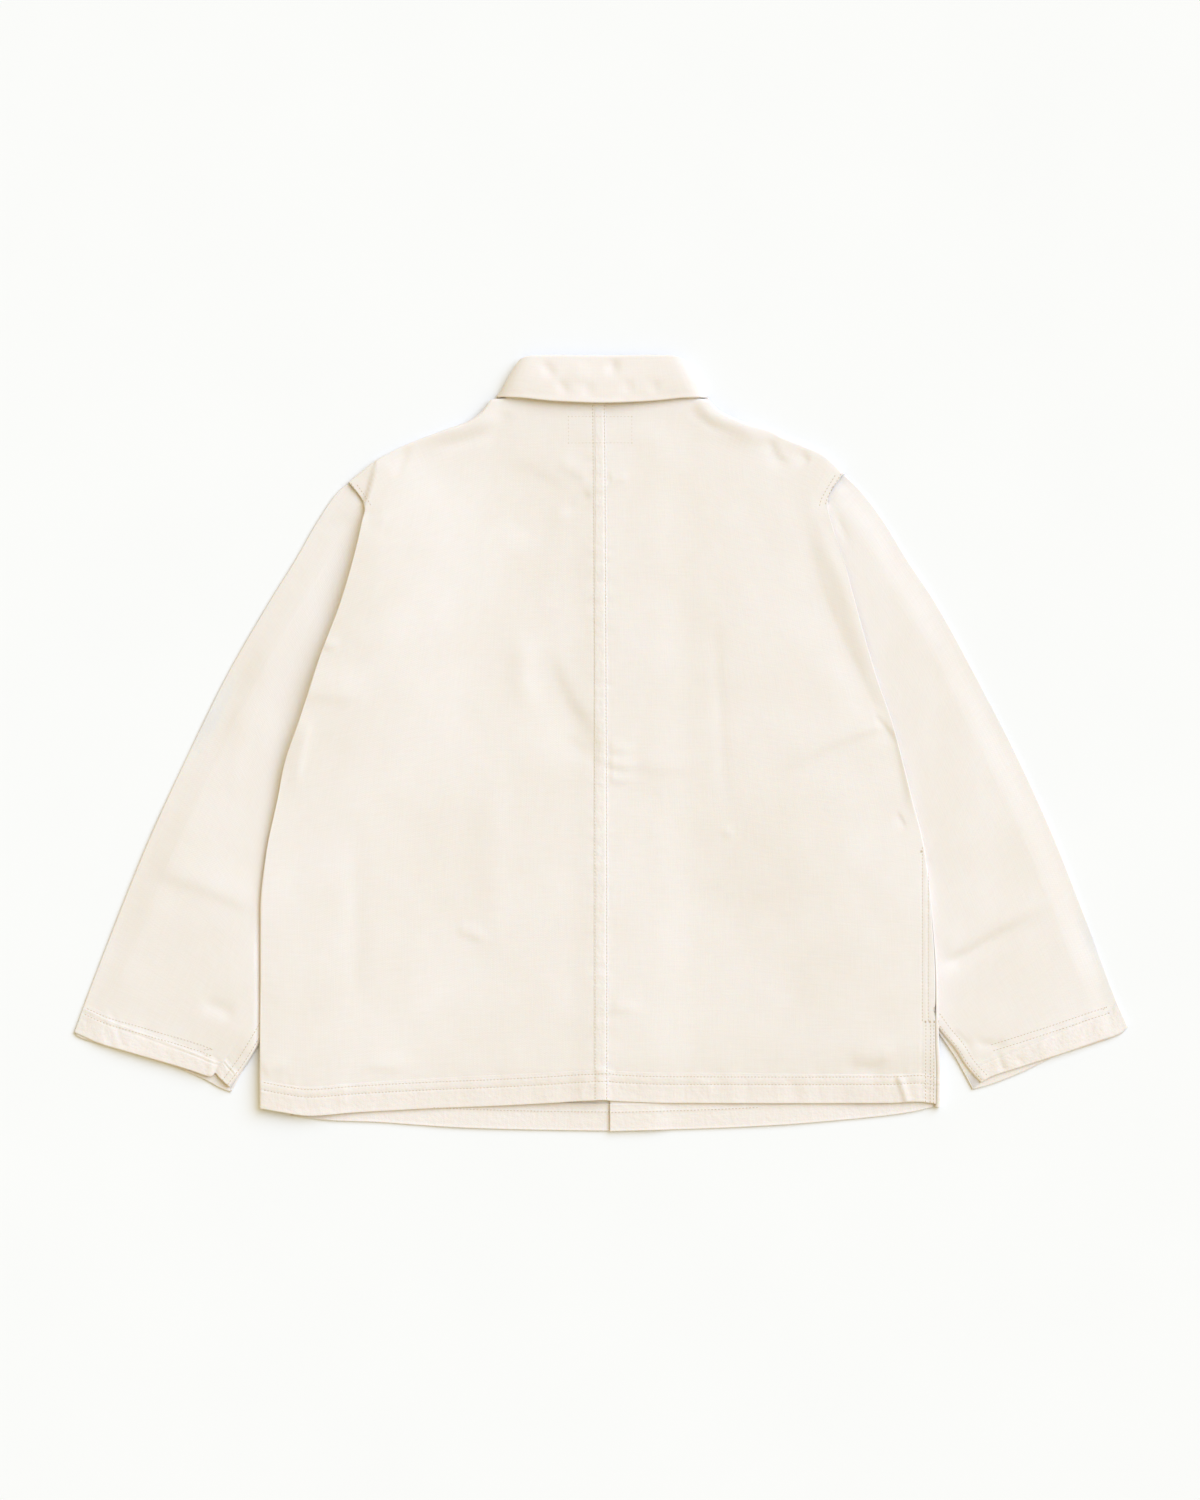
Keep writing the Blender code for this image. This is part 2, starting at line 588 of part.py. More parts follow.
def collar_sections():
    """Sections of the collar from the right front end round the back to the left front end."""
    mirrored = [(RIGHT, row) for row in COLLAR[:0:-1]] + [(LEFT, row) for row in COLLAR]
    steps = np.linspace(0, len(mirrored) - 1, 3 * (len(mirrored) - 1) + 1)
    places = np.arange(len(mirrored))

    def track(value):
        return smooth(places, [value(side, row) for side, row in mirrored], steps)

    def spot(name):
        x = track(lambda side, row: side * getattr(row, name + "_out") + row.shift * CENTRE_FRONT)
        return np.stack([x, track(lambda side, row: getattr(row, name + "_y"))], axis=-1)

    neck, fold, leaf = spot("neck"), spot("fold"), spot("leaf")
    turn = np.radians(track(lambda side, row: row.turn))
    swell = track(lambda side, row: row.swell) * ease((130 - np.degrees(turn)) / 60)
    lift = track(lambda side, row: row.stand_lift * (side == RIGHT))
    sheets = []
    for i in range(len(steps)):
        down = leaf[i] - fold[i]
        hand = RIGHT if steps[i] < (len(mirrored) - 1) / 2 else LEFT
        across = np.array([-down[1], down[0]]) / np.linalg.norm(down) * hand
        face = np.array([across[0] * math.sin(turn[i]), across[1] * math.sin(turn[i]), math.cos(turn[i])])
        rise = (fold[i] - neck[i]) / np.linalg.norm(fold[i] - neck[i])
        depth = 2 * COLLAR_CLOTH + COLLAR_GAP + lift[i]
        start = STAND_RING - lift[i]
        radius = depth / 2
        section = []
        for share in (0.0, 0.5, 1.0):
            plan = neck[i] + (fold[i] - rise * radius - neck[i]) * share
            section.append((plan, start))
        for angle in (-60, -30, 0, 30, 60):
            reach = radius * math.cos(math.radians(angle))
            plan = fold[i] - rise * radius + rise * reach
            section.append((plan, start + radius + radius * math.sin(math.radians(angle))))
        for share in (0.0, 0.22, 0.45, 0.7, 1.0):
            plan = fold[i] - rise * radius + (leaf[i] - fold[i] + rise * radius) * share
            section.append((plan, start + depth + swell[i] * math.sin(math.pi * share)))
        sheet = [np.array([*plan, COLLAR_MIDDLE_Z]) + face * off for plan, off in section]
        sheets.append(np.array(sheet))
    grid = np.array(sheets)
    return grid, np.full(grid.shape[:2], COLLAR_CLOTH)


def bag_panel(side):
    """A pocket bag: one piece folded at its inner edge, its open edges at the side seam."""
    rows = SIDES[side]
    y = np.linspace(BAG_BOTTOM, BAG_TOP, 9)
    if side == LEFT:
        mouth = column(rows, "foot", y) - 2.0
    else:
        mouth = column(rows, "fold", y) - 5.5
    mouth = mouth - BAG_SHOULDER * ease((SLIT_BOTTOM - y) / 30.0)
    height = 2 * BAG_CLOTH + BAG_GAP
    inner = column(rows, "foot", y) - BAG_WIDTH
    shares = np.array([0.0, 0.08, 0.16, 0.24, 0.32, 0.4, 0.5, 0.65, 0.82, 1.0])
    out = mouth[:, None] + (inner - mouth)[:, None] * shares
    wide_y = np.broadcast_to(y[:, None], out.shape)
    base = front_height(side, out, wide_y) + CLOTH + SEAM
    if side == RIGHT:
        way = column(rows, "fold", y)[:, None] - out
        flap = round_fold(rows, wide_y, np.clip(way - BAG_CLEAR, 3.2, None))[1] + CLOTH + SEAM
        base = np.maximum(base, flap)
    lower = np.stack([out, wide_y, base], axis=-1)
    radius = height / 2
    bend = []
    for angle in (-45, 0, 45):
        past = out[:, -1] - radius * math.cos(math.radians(angle))
        z = base[:, -1] + radius + radius * math.sin(math.radians(angle))
        bend.append(np.stack([past, y, z], axis=-1))
    upper = lower[:, ::-1] + np.array([0, 0, height])
    grid = np.concatenate([lower, np.stack(bend, axis=1), upper], axis=1)
    return grid, np.full(grid.shape[:2], BAG_CLOTH)


def cloth_material(name, colour, roughness):
    material = bpy.data.materials.new(name)
    material.use_nodes = True
    shader = material.node_tree.nodes["Principled BSDF"]
    shader.inputs["Base Color"].default_value = (*colour, 1.0)
    shader.inputs["Roughness"].default_value = roughness
    shader.inputs["Metallic"].default_value = 0.0
    return material


def sew(name, grid, walls, side, first_face_up, material, ring=False):
    """Makes a sheet from its grid of points and gives it a wall that grows towards the inside."""
    shape = bmesh.new()
    weights = shape.verts.layers.deform.verify()
    thickest = float(walls.max())
    corners = []
    for points, thick in zip(grid, walls):
        made = []
        for (out, y, z), wall in zip(points, thick):
            corner = shape.verts.new((side * out * MM, y * MM, z * MM))
            corner[weights][0] = wall / thickest
            made.append(corner)
        corners.append(made + made[:1] if ring else made)
    for low, high in zip(corners, corners[1:]):
        for a, b, c, d in zip(low, low[1:], high[1:], high):
            shape.faces.new((a, b, c, d))
    shape.faces.ensure_lookup_table()
    shape.normal_update()
    if (shape.faces[0].normal.z > 0) != first_face_up:
        bmesh.ops.reverse_faces(shape, faces=shape.faces)
    bmesh.ops.remove_doubles(shape, verts=shape.verts, dist=0.05 * MM)
    bmesh.ops.dissolve_degenerate(shape, edges=shape.edges, dist=0.02 * MM)
    mesh = bpy.data.meshes.new(name)
    shape.to_mesh(mesh)
    shape.free()
    mesh.shade_smooth()
    piece = bpy.data.objects.new(name, mesh)
    piece.vertex_groups.new(name="cloth")
    piece.data.materials.append(material)
    wall = piece.modifiers.new("Wall", "SOLIDIFY")
    wall.thickness = thickest * MM
    wall.offset = -1.0
    wall.vertex_group = "cloth"
    wall.use_quality_normals = True
    return piece


def button(name, y, material):
    """A four-hole button, sewn on with its back to the cloth, so its dished face is on the floor."""
    profile = [
        (0.0, BUTTON_HEIGHT),
        (BUTTON_RADIUS - 0.6, BUTTON_HEIGHT),
        (BUTTON_RADIUS, BUTTON_HEIGHT - 0.7),
        (BUTTON_RADIUS, 0.5),
        (BUTTON_RADIUS - 0.5, 0.0),
        (BUTTON_RADIUS - 2.2, 0.0),
        (BUTTON_RADIUS - 3.0, 0.6),
        (0.0, 0.6),
    ]
    shape = bmesh.new()
    points = [shape.verts.new((out * MM, 0.0, z * MM)) for out, z in profile]
    for start, end in zip(points, points[1:]):
        shape.edges.new((start, end))
    mesh = bpy.data.meshes.new(name)
    shape.to_mesh(mesh)
    shape.free()
    piece = bpy.data.objects.new(name, mesh)
    piece.location = (CENTRE_FRONT * MM, y * MM, 0.0)
    piece.data.materials.append(material)
    turned = piece.modifiers.new("Turned", "SCREW")
    turned.steps = turned.render_steps = 20
    turned.use_merge_vertices = True
    turned.merge_threshold = 0.00005
    return piece


def hole_cutter(collection):
    """Four thread holes, shared by every button."""
    shape = bmesh.new()
    for quarter in range(4):
        angle = math.radians(45 + 90 * quarter)
        made = bmesh.ops.create_cone(
            shape,
            cap_ends=True,
            segments=8,
            radius1=BUTTON_HOLE_RADIUS * MM,
            radius2=BUTTON_HOLE_RADIUS * MM,
            depth=3 * BUTTON_HEIGHT * MM,
        )
        shift = (BUTTON_HOLE_OFFSET * MM * math.cos(angle), BUTTON_HOLE_OFFSET * MM * math.sin(angle), 0)
        bmesh.ops.translate(shape, verts=made["verts"], vec=shift)
    mesh = bpy.data.meshes.new("button_holes")
    shape.to_mesh(mesh)
    shape.free()
    return mesh


def main():
    for old in list(bpy.data.objects):
        bpy.data.objects.remove(old, do_unlink=True)
    garment = bpy.data.collections.new("work_overshirt")
    cutters = bpy.data.collections.new("cutters")
    bpy.context.scene.collection.children.link(garment)
    bpy.context.scene.collection.children.link(cutters)
    twill = cloth_material("cream_cotton_twill", CREAM, 0.9)
    pocketing = cloth_material("cotton_pocketing", POCKETING, 0.85)
    resin = cloth_material("bone_resin", BONE, 0.45)
    for side, name in ((LEFT, "left"), (RIGHT, "right")):
        pieces = [
            sew("back_" + name, *back_panel(side), side, True, twill),
            sew("front_" + name, *front_panel(side), side, False, twill),
            sew("sleeve_" + name, *sleeve_rings(side), side, True, twill, ring=True),
            sew("pocket_bag_" + name, *bag_panel(side), side, False, pocketing),
        ]
        for piece in pieces:
            garment.objects.link(piece)
    garment.objects.link(sew("collar", *collar_sections(), 1, True, twill))
    holes = hole_cutter(cutters)
    for count in range(BUTTON_COUNT):
        piece = button("button_%d" % (count + 1), BUTTON_TOP_Y - BUTTON_PITCH * count, resin)
        cutter = bpy.data.objects.new("holes_%d" % (count + 1), holes)
        cutter.location = piece.location
        cutter.hide_render = True
        cutter.display_type = "WIRE"
        cutters.objects.link(cutter)
        cut = piece.modifiers.new("Thread holes", "BOOLEAN")
        cut.operation = "DIFFERENCE"
        cut.object = cutter
        garment.objects.link(piece)


main()
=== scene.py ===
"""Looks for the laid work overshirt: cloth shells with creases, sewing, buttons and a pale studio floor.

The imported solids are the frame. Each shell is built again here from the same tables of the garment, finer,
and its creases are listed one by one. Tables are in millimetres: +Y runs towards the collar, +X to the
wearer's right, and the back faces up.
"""

import math
from collections import namedtuple

import bmesh
import bpy
import numpy as np
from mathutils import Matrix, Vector
from mathutils.bvhtree import BVHTree


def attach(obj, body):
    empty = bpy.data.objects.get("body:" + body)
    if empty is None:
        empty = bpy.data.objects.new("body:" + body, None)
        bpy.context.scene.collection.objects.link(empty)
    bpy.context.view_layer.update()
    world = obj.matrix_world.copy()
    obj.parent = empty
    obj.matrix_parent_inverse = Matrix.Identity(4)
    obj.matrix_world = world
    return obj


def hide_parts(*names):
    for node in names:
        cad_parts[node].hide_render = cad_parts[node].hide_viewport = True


bl_info = {
    "name": "Laid work overshirt",
    "version": (1, 0, 0),
    "blender": (4, 5, 0),
    "location": "View3D > Sidebar > Overshirt",
    "description": "Cream twill work overshirt laid flat on its front",
    "category": "Add Mesh",
}

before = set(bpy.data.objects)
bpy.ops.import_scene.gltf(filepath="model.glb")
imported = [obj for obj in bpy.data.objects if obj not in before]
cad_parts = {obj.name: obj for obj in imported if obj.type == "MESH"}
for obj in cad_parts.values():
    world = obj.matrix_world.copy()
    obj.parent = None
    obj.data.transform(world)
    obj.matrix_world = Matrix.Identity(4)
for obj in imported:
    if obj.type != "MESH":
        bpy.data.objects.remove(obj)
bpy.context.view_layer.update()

MM = 0.001
LEFT, RIGHT = -1, 1  # the wearer's left lies at -X, because the back faces up
Point = namedtuple("Point", "out y")  # `out` is the distance from the middle towards the piece's side


def points(*pairs):
    """Points of an outline, from (out, y) pairs."""
    return [Point(*pair) for pair in pairs]


# Cloth and seams
SEAM = 0.3
ARMHOLE_GAP = 0.45
ARMHOLE_TUCK = 5.0
ARMPIT_EASE = 8.0
SIDE_GAP = 0.03
NECK_GAP = 2.2
NECK_CORNER = 6.0
CREST_GAP = 0.5
HEM_DEPTH = 26.0
HEM_ROWS = (18.0, 25.2)  # the two stitch rows of a hem, up from its edge
HEM_RUNS = ((3, 0.6), (14, 1.6), (29, 0.8), (34, 1.6))  # mesh rows up a hem: where each run ends, and its step
HEM_PLY = 0.6  # how much thicker the turned hem of the back is
HEM_EASE = 12.0  # height over which layers take up a turned hem below them
CUFF_DEPTH = 24.0
CUFF_PLY = 0.5  # the same for cuffs and for the fronts' hems

# How the layers lie on each other
SLEEVE_HEIGHT = 5.2
SLEEVE_EDGE = 2.3  # its thickness at the pressed outer fold
CUFF_FALL = 1.6  # how much thinner it lies at the cuff
SLEEVE_CROWN = {LEFT: 1.9, RIGHT: 0.9}
SLEEVE_DIP, DIP_REACH = 1.8, 26.0  # the left sleeve is pressed flat beside the body's fold
SLEEVE_CLIMB = 3.2  # and lower down it rises to the fold
CUFF_ROWS = {LEFT: (20.0, 26.0), RIGHT: (22.5, 28.5)}
FELL_ROWS = (2.6, 9.0)  # the stitch rows of the underarm seam, in from the inner fold
SLEEVE_LENGTH = 560.0
SLEEVE_SLOPE = 26.0  # it rises over this width from its pressed outer fold
CUFF_FALL_FROM = 0.86  # share of its length from which it thins towards the cuff
BACK_REST = 6.6
BACK_OVER_PLACKET = 1.6
NECK_REST, NECK_REST_Y = 0.4, 285.0
LAPPED_SLOPE, LAPPED_TOP_Y = 40.0, 286.0  # the back rises over this width, up to this height
DEEPEST, DEEPEST_LESS = 3.3, 2.0  # how deep a crease can go, and how much less over the placket and the leaf
# The back rises to its side folds over this much; past the shoulder only its edge goes down to the seam
SIDE_SLOPE = {LEFT: 160.0, RIGHT: 190.0}
SHOULDER_Y, SHOULDER_FADE, EDGE_SLOPE = 196.0, 90.0, 18.0
FOLD_SHARPNESS = 0.34  # a side fold's depth across, as a share of half its height

# Lapped fronts and buttons
RIGHT_FRONT_EDGE = 7.3
LEFT_FRONT_EDGE = 41.0
CENTRE_FRONT = 24.0
PLACKET_LIFT = 2.8
PLACKET_SLOPE = 26.0
BUTTON_COUNT, BUTTON_TOP_Y, BUTTON_PITCH = 6, 226.0, 98.0
PLACKET_FALL_Y = -345.0
PLACKET_FALL = 55.0
FRONT_HEM_TOP_Y = -340.0
BACK_HEM_TOP_Y = -311.0

# Centre back seam
LAP_WIDTH = 10.5
LAP_ROWS = (1.0, 12.0)  # its stitch rows, in from the lapped edge
LAP_GROOVES = (0.5, 0.12)  # how deep they sink in
LAP_SLOPE = 150.0
LAP_GAP = 0.1

# Collar
COLLAR_MIDDLE_Z = 5.6
STAND_RING = 0.5
COLLAR_GAP = 1.5
COLLAR_PLY = 1.8
LEAF_LIFT, LEAF_LIFT_X, LEAF_LIFT_WIDTH = 3.4, -28.0, 70.0
LEAF_REACH = 116.0
NECK_BOX = (-31.7, 28.3, 285.0, 310.0)  # the stitched rectangle below the collar: left, right, low and high
NECK_MIDDLE = (4.0, 298.0)

# The left back's fold beside the shoulder, left of which it lies low against the armhole: its height at its
# foot and its fall for each mm up, the width that it rises over, and how fast it drops and settles
SHOULDER_FOLD, SHOULDER_FALL, SHOULDER_SLOPE = 13.0, 0.085, 60.0
SHOULDER_DROP, SHOULDER_SETTLE = 2.2, 8.0
FOLD_FOOT_Y, FOLD_END_Y = 210.0, 272.0
SHOULDER_LINE = points((225.0, 226.0), (219.8, 240.8), (216.6, 254.1), (213.8, 267.4))
# Where the back hem's edge stands off the fronts: place, reach and rise
HEM_LIFTS = ((-276.0, 32.0, 2.4), (-14.0, 24.0, 1.0), (274.0, 48.0, 2.2), (-180.0, 60.0, 0.2))
HEM_SAG, HEM_SAG_WIDTH, HEM_SAG_OUT = 2.6, 46.0, 302.0
CRUMPLE = 0.8  # mm of fine crumpling between the stitch rows of a band

# Sewing
THREAD, NECK_THREAD = 0.75, 0.42  # widths
STITCH_SHARE = 0.66  # of the pitch; the rest is the gap between two stitches

# In-seam pocket
SLIT_TOP, SLIT_BOTTOM = -106.0, -262.0
SLIT_OPEN = 0.12
SLIT_GAPES = ((-108.0, 6.0, 0.55), (-252.0, 5.0, 0.35))  # place, reach and width
BAG_WIDTH, BAG_TOP, BAG_BOTTOM = 150.0, -112.0, -304.0
BAG_PLY, BAG_GAP, BAG_CLEAR, BAG_SHOULDER = 1.0, 0.4, 6.0, 60.0

# The right side's stitch rows beside the pocket slit and below it: x, top and bottom
SIDE_SEAM_ROWS = (
    (303.5, -99.0, -262.0),
    (309.1, -119.0, -262.0),
    (306.9, -264.0, -339.5),
    (311.4, -264.0, -340.0),
    (314.5, -264.0, -340.5),
)

ARMPIT_Y = -20.0
ROLL_RADIUS = 3.0  # of the shoulder seam
FOLD_ANGLES = (*range(78, 0, -12), 3)  # degrees up from a side fold's crest, for its mesh rows
QUADRANT = range(0, 91, 15)

# The key light: its way round from +X, its height, its width and its colour, and the colour of the sky
KEY_TURN, KEY_HEIGHT, KEY_WIDTH = math.radians(40), math.radians(43), math.radians(58)
KEY_COLOUR, SKY_COLOUR = (0.556, 0.7, 1.0), (1.0, 0.85, 0.502)
FLOOR_DROP = 0.2 * MM  # the floor lies this far below the cloth, so that the two never flicker

# One side of the body: the visible fold, the armhole and the foot of the tucked flap, the inner fold of
# the sleeve, the side seam's way round the fold, the heights of the back and of the flap below it, and how
# far the flap stands off the sleeve at the fold.
Side = namedtuple("Side", "y fold foot sleeve seam top under hover", defaults=[0.0])
LEFT_SIDE = [
    Side(-346, 325.0, 296.0, 352.0, 29.0, 7.6, 0.0),
    Side(-320, 325.0, 293.0, 342.0, 32.0, 9.4, 1.8),
    Side(-285, 324.5, 290.0, 326.0, 34.5, 10.8, 5.6),
    Side(-215, 324.0, 281.0, 305.0, 43.0, 11.2, 5.6),
    Side(-158, 324.0, 273.0, 292.0, 51.0, 11.4, 5.6),
    Side(-105, 318.5, 265.0, 282.0, 54.0, 12.4, 5.6, 2.6),
    Side(-52, 307.4, 257.0, 270.0, 51.0, 13.2, 5.6, 3.6),
    Side(-20, 301.2, 252.0, 260.0, 50.0, 13.8, 5.6, 4.4),
    Side(28, 285.0, 240.0, 240.0, 46.0, 14.8, 5.6, 5.6),
    Side(81, 267.8, 231.0, 231.0, 38.0, 15.6, 5.6, 6.6),
    Side(134, 247.8, 221.0, 221.0, 28.0, 16.0, 5.6, 7.0),
    Side(188, 232.4, 219.5, 219.5, 14.0, 15.4, 5.6, 6.4),
    Side(212, 227.2, 222.3, 222.3, 5.0, 13.0, 5.6, 4.4),
    Side(222, 225.2, 223.9, 223.9, 1.3, 8.6, 5.4, 0.8),
    Side(227, 226.2, 226.2, 226.2, 0.0, 6.3, 3.4),
    Side(248, 242.8, 240.4, 240.4, -2.4, 5.9, 1.0),
]
RIGHT_SIDE = [
    Side(-342, 321.0, 314.0, 352.0, -4.5, 5.8, 0.0),
    Side(-318, 321.0, 309.0, 342.0, -4.3, 8.0, 1.8),
    Side(-282, 319.5, 297.0, 325.0, -4.0, 11.6, 5.6),
    Side(-220, 317.8, 275.0, 306.0, -2.0, 11.6, 5.6),
    Side(-153, 312.5, 255.0, 288.0, -1.0, 11.6, 5.6),
    Side(-101, 306.0, 243.0, 274.0, 0.0, 11.6, 5.6),
    Side(-54, 294.5, 238.0, 260.0, 28.0, 11.0, 5.6, 1.0),
    Side(-20, 286.0, 237.0, 247.0, 49.0, 10.6, 5.6, 1.8),
    Side(22, 274.6, 232.6, 232.6, 42.0, 10.4, 5.6, 2.2),
    Side(60, 261.3, 226.3, 226.3, 35.0, 10.1, 5.6, 2.0),
    Side(98, 250.0, 221.0, 221.0, 29.0, 9.9, 5.6, 2.0),
    Side(136, 239.4, 217.4, 217.4, 22.0, 9.7, 5.6, 2.0),
    Side(174, 229.0, 215.0, 215.0, 14.0, 9.4, 5.6, 1.8),
    Side(212, 216.8, 211.8, 211.8, 5.0, 8.8, 5.6, 1.4),
    Side(222, 214.6, 213.3, 213.3, 1.3, 8.0, 5.4, 0.6),
    Side(228, 214.0, 214.0, 214.0, 0.0, 7.2, 3.4),
    Side(257, 231.4, 229.0, 229.0, -2.4, 6.0, 1.0),
]
SIDES = {LEFT: LEFT_SIDE, RIGHT: RIGHT_SIDE}

# Outlines, from the middle outwards
SHOULDER = {
    LEFT: points(
        (104.8, 326.3), (108.8, 321.5), (112.6, 316.3), (126.5, 305.8), (147.5, 298.2), (168.0, 290.6),
        (187.0, 283.0), (202.5, 275.4), (215.6, 268.0), (226.5, 259.5),
    ),
    RIGHT: points(
        (100.3, 326.3), (105.4, 321.5), (110.6, 316.5), (133.0, 305.8), (157.5, 298.2), (172.0, 290.8),
        (192.0, 283.0), (209.0, 275.4), (218.6, 268.0),
    ),
}
BACK_HEM = {
    LEFT: points(
        (11.0, -338.7), (54.0, -341.5), (110.0, -344.4), (163.0, -346.5), (238.0, -350.5),
        (277.0, -353.2), (305.0, -349.5),
    ),
    RIGHT: points(
        (17.0, -339.6), (65.0, -341.3), (169.0, -341.6), (273.0, -341.3), (300.0, -340.0),
    ),
}
FRONT_HEM = {
    LEFT: points(
        (-20.0, -368.0), (54.0, -367.2), (133.0, -365.0), (178.0, -362.2), (215.0, -359.6),
        (258.0, -358.0),
    ),
    RIGHT: points(
        (43.0, -367.3), (93.0, -366.0), (169.0, -362.4), (218.0, -358.6), (267.0, -353.8),
        (296.0, -349.6),
    ),
}
FRONT_CORNER_Y = {LEFT: -353.5, RIGHT: -345.2}
FRONT_EDGE_FOOT_Y = -368.1
FRONT_SHOWS_Y = -345.5  # below this the fronts' sewing can show past the back's hem
CENTRE_BACK = {
    LEFT: points((-5.5, -338.0), (-5.5, -200.0), (-3.8, 250.0), (-3.0, 329.5)),
    RIGHT: points((5.5, -338.0), (5.5, -200.0), (3.8, 250.0), (3.0, 329.5)),
}
SLEEVE_OUTER = {
    LEFT: points(
        (249.0, 240.8), (269.5, 212.3), (291.5, 174.0), (315.0, 136.3), (358.6, 60.3), (395.6, -15.7),
        (430.6, -91.7), (461.2, -167.7), (490.3, -243.7),
    ),
    RIGHT: points(
        (245.0, 240.8), (266.8, 212.3), (290.3, 174.0), (315.4, 136.3), (357.2, 60.3), (396.2, -15.7),
        (430.4, -91.7), (460.0, -167.7), (488.3, -243.7),
    ),
}
# The cuff's edge on the upper layer, and on the lower layer, which shows below it at the right
CUFF = {
    LEFT: points(
        (501.5, -274.5), (478.8, -284.2), (442.2, -294.9), (405.7, -305.4), (390.7, -310.0),
        (370.5, -316.0), (367.0, -312.6), (363.6, -316.4), (353.6, -326.0),
    ),
    RIGHT: points(
        (499.5, -269.0), (494.0, -274.5), (468.4, -283.6), (440.8, -293.1), (408.5, -303.5),
        (385.0, -311.0), (371.0, -315.5), (359.5, -321.8),
    ),
}
CUFF_UNDER = {
    LEFT: points(
        (501.5, -275.5), (498.0, -279.0), (478.8, -286.0), (442.2, -296.4), (405.7, -307.4),
        (377.0, -319.4), (360.0, -328.4), (352.0, -331.0),
    ),
    RIGHT: points(
        (499.5, -269.0), (494.0, -275.0), (468.4, -285.0), (430.4, -297.3), (401.0, -311.1),
        (368.6, -324.0), (352.1, -328.6),
    ),
}
# The sleeve's inner fold where it comes out beside the body: its upper layer's, then its lower layer's
INNER_UPPER = {
    LEFT: points((317.0, -270.0), (325.9, -285.5), (338.5, -305.5)),
    RIGHT: points((313.5, -262.0), (322.0, -274.0), (335.4, -290.2), (345.8, -306.4)),
}
INNER_LOWER = {
    LEFT: points((317.0, -270.0), (325.9, -285.9), (338.5, -306.2)),
    RIGHT: points((313.5, -264.0), (323.0, -279.3), (335.4, -297.8), (345.8, -316.8)),
}

# Half the collar, a row for each section from the centre back to the centre front
Section = namedtuple(
    "Section", "turn neck_out neck_y fold_out fold_y leaf_out leaf_y shift swell stand_lift"
)
COLLAR = [
    Section(0, 0, 330, 0, 368, 0, 322.5, 0.0, 1.5, 0.0),
    Section(0, 42, 330, 38, 368.5, 42, 324, 0.0, 1.5, 0.0),
    Section(12, 76, 328, 64, 368, 78, 327, 0.0, 1.8, 0.0),
    Section(90, 92, 324.5, 73.5, 361.5, 93, 325.5, 0.0, 1.5, 0.0),
    Section(130, 92, 319, 71.5, 358, 97, 327, 0.0, 0.0, 0.0),
    Section(168, 90, 309, 67, 349, 103, 307, 0.08, 0.0, 0.0),
    Section(180, 87, 300, 63, 337, 104, 288, 0.2, 0.0, 0.0),
    Section(180, 75, 280, 50, 310, 98, 260, 0.4, 0.0, 0.0),
    Section(180, 50, 258, 32, 292, 77, 227, 0.7, 0.0, 0.4),
    Section(180, 24, 246, 16, 284, 54, 208, 0.9, 0.0, 1.2),
    Section(180, 2, 241.5, 1, 279, 36, 200, 1.0, 0.0, 1.7),
]

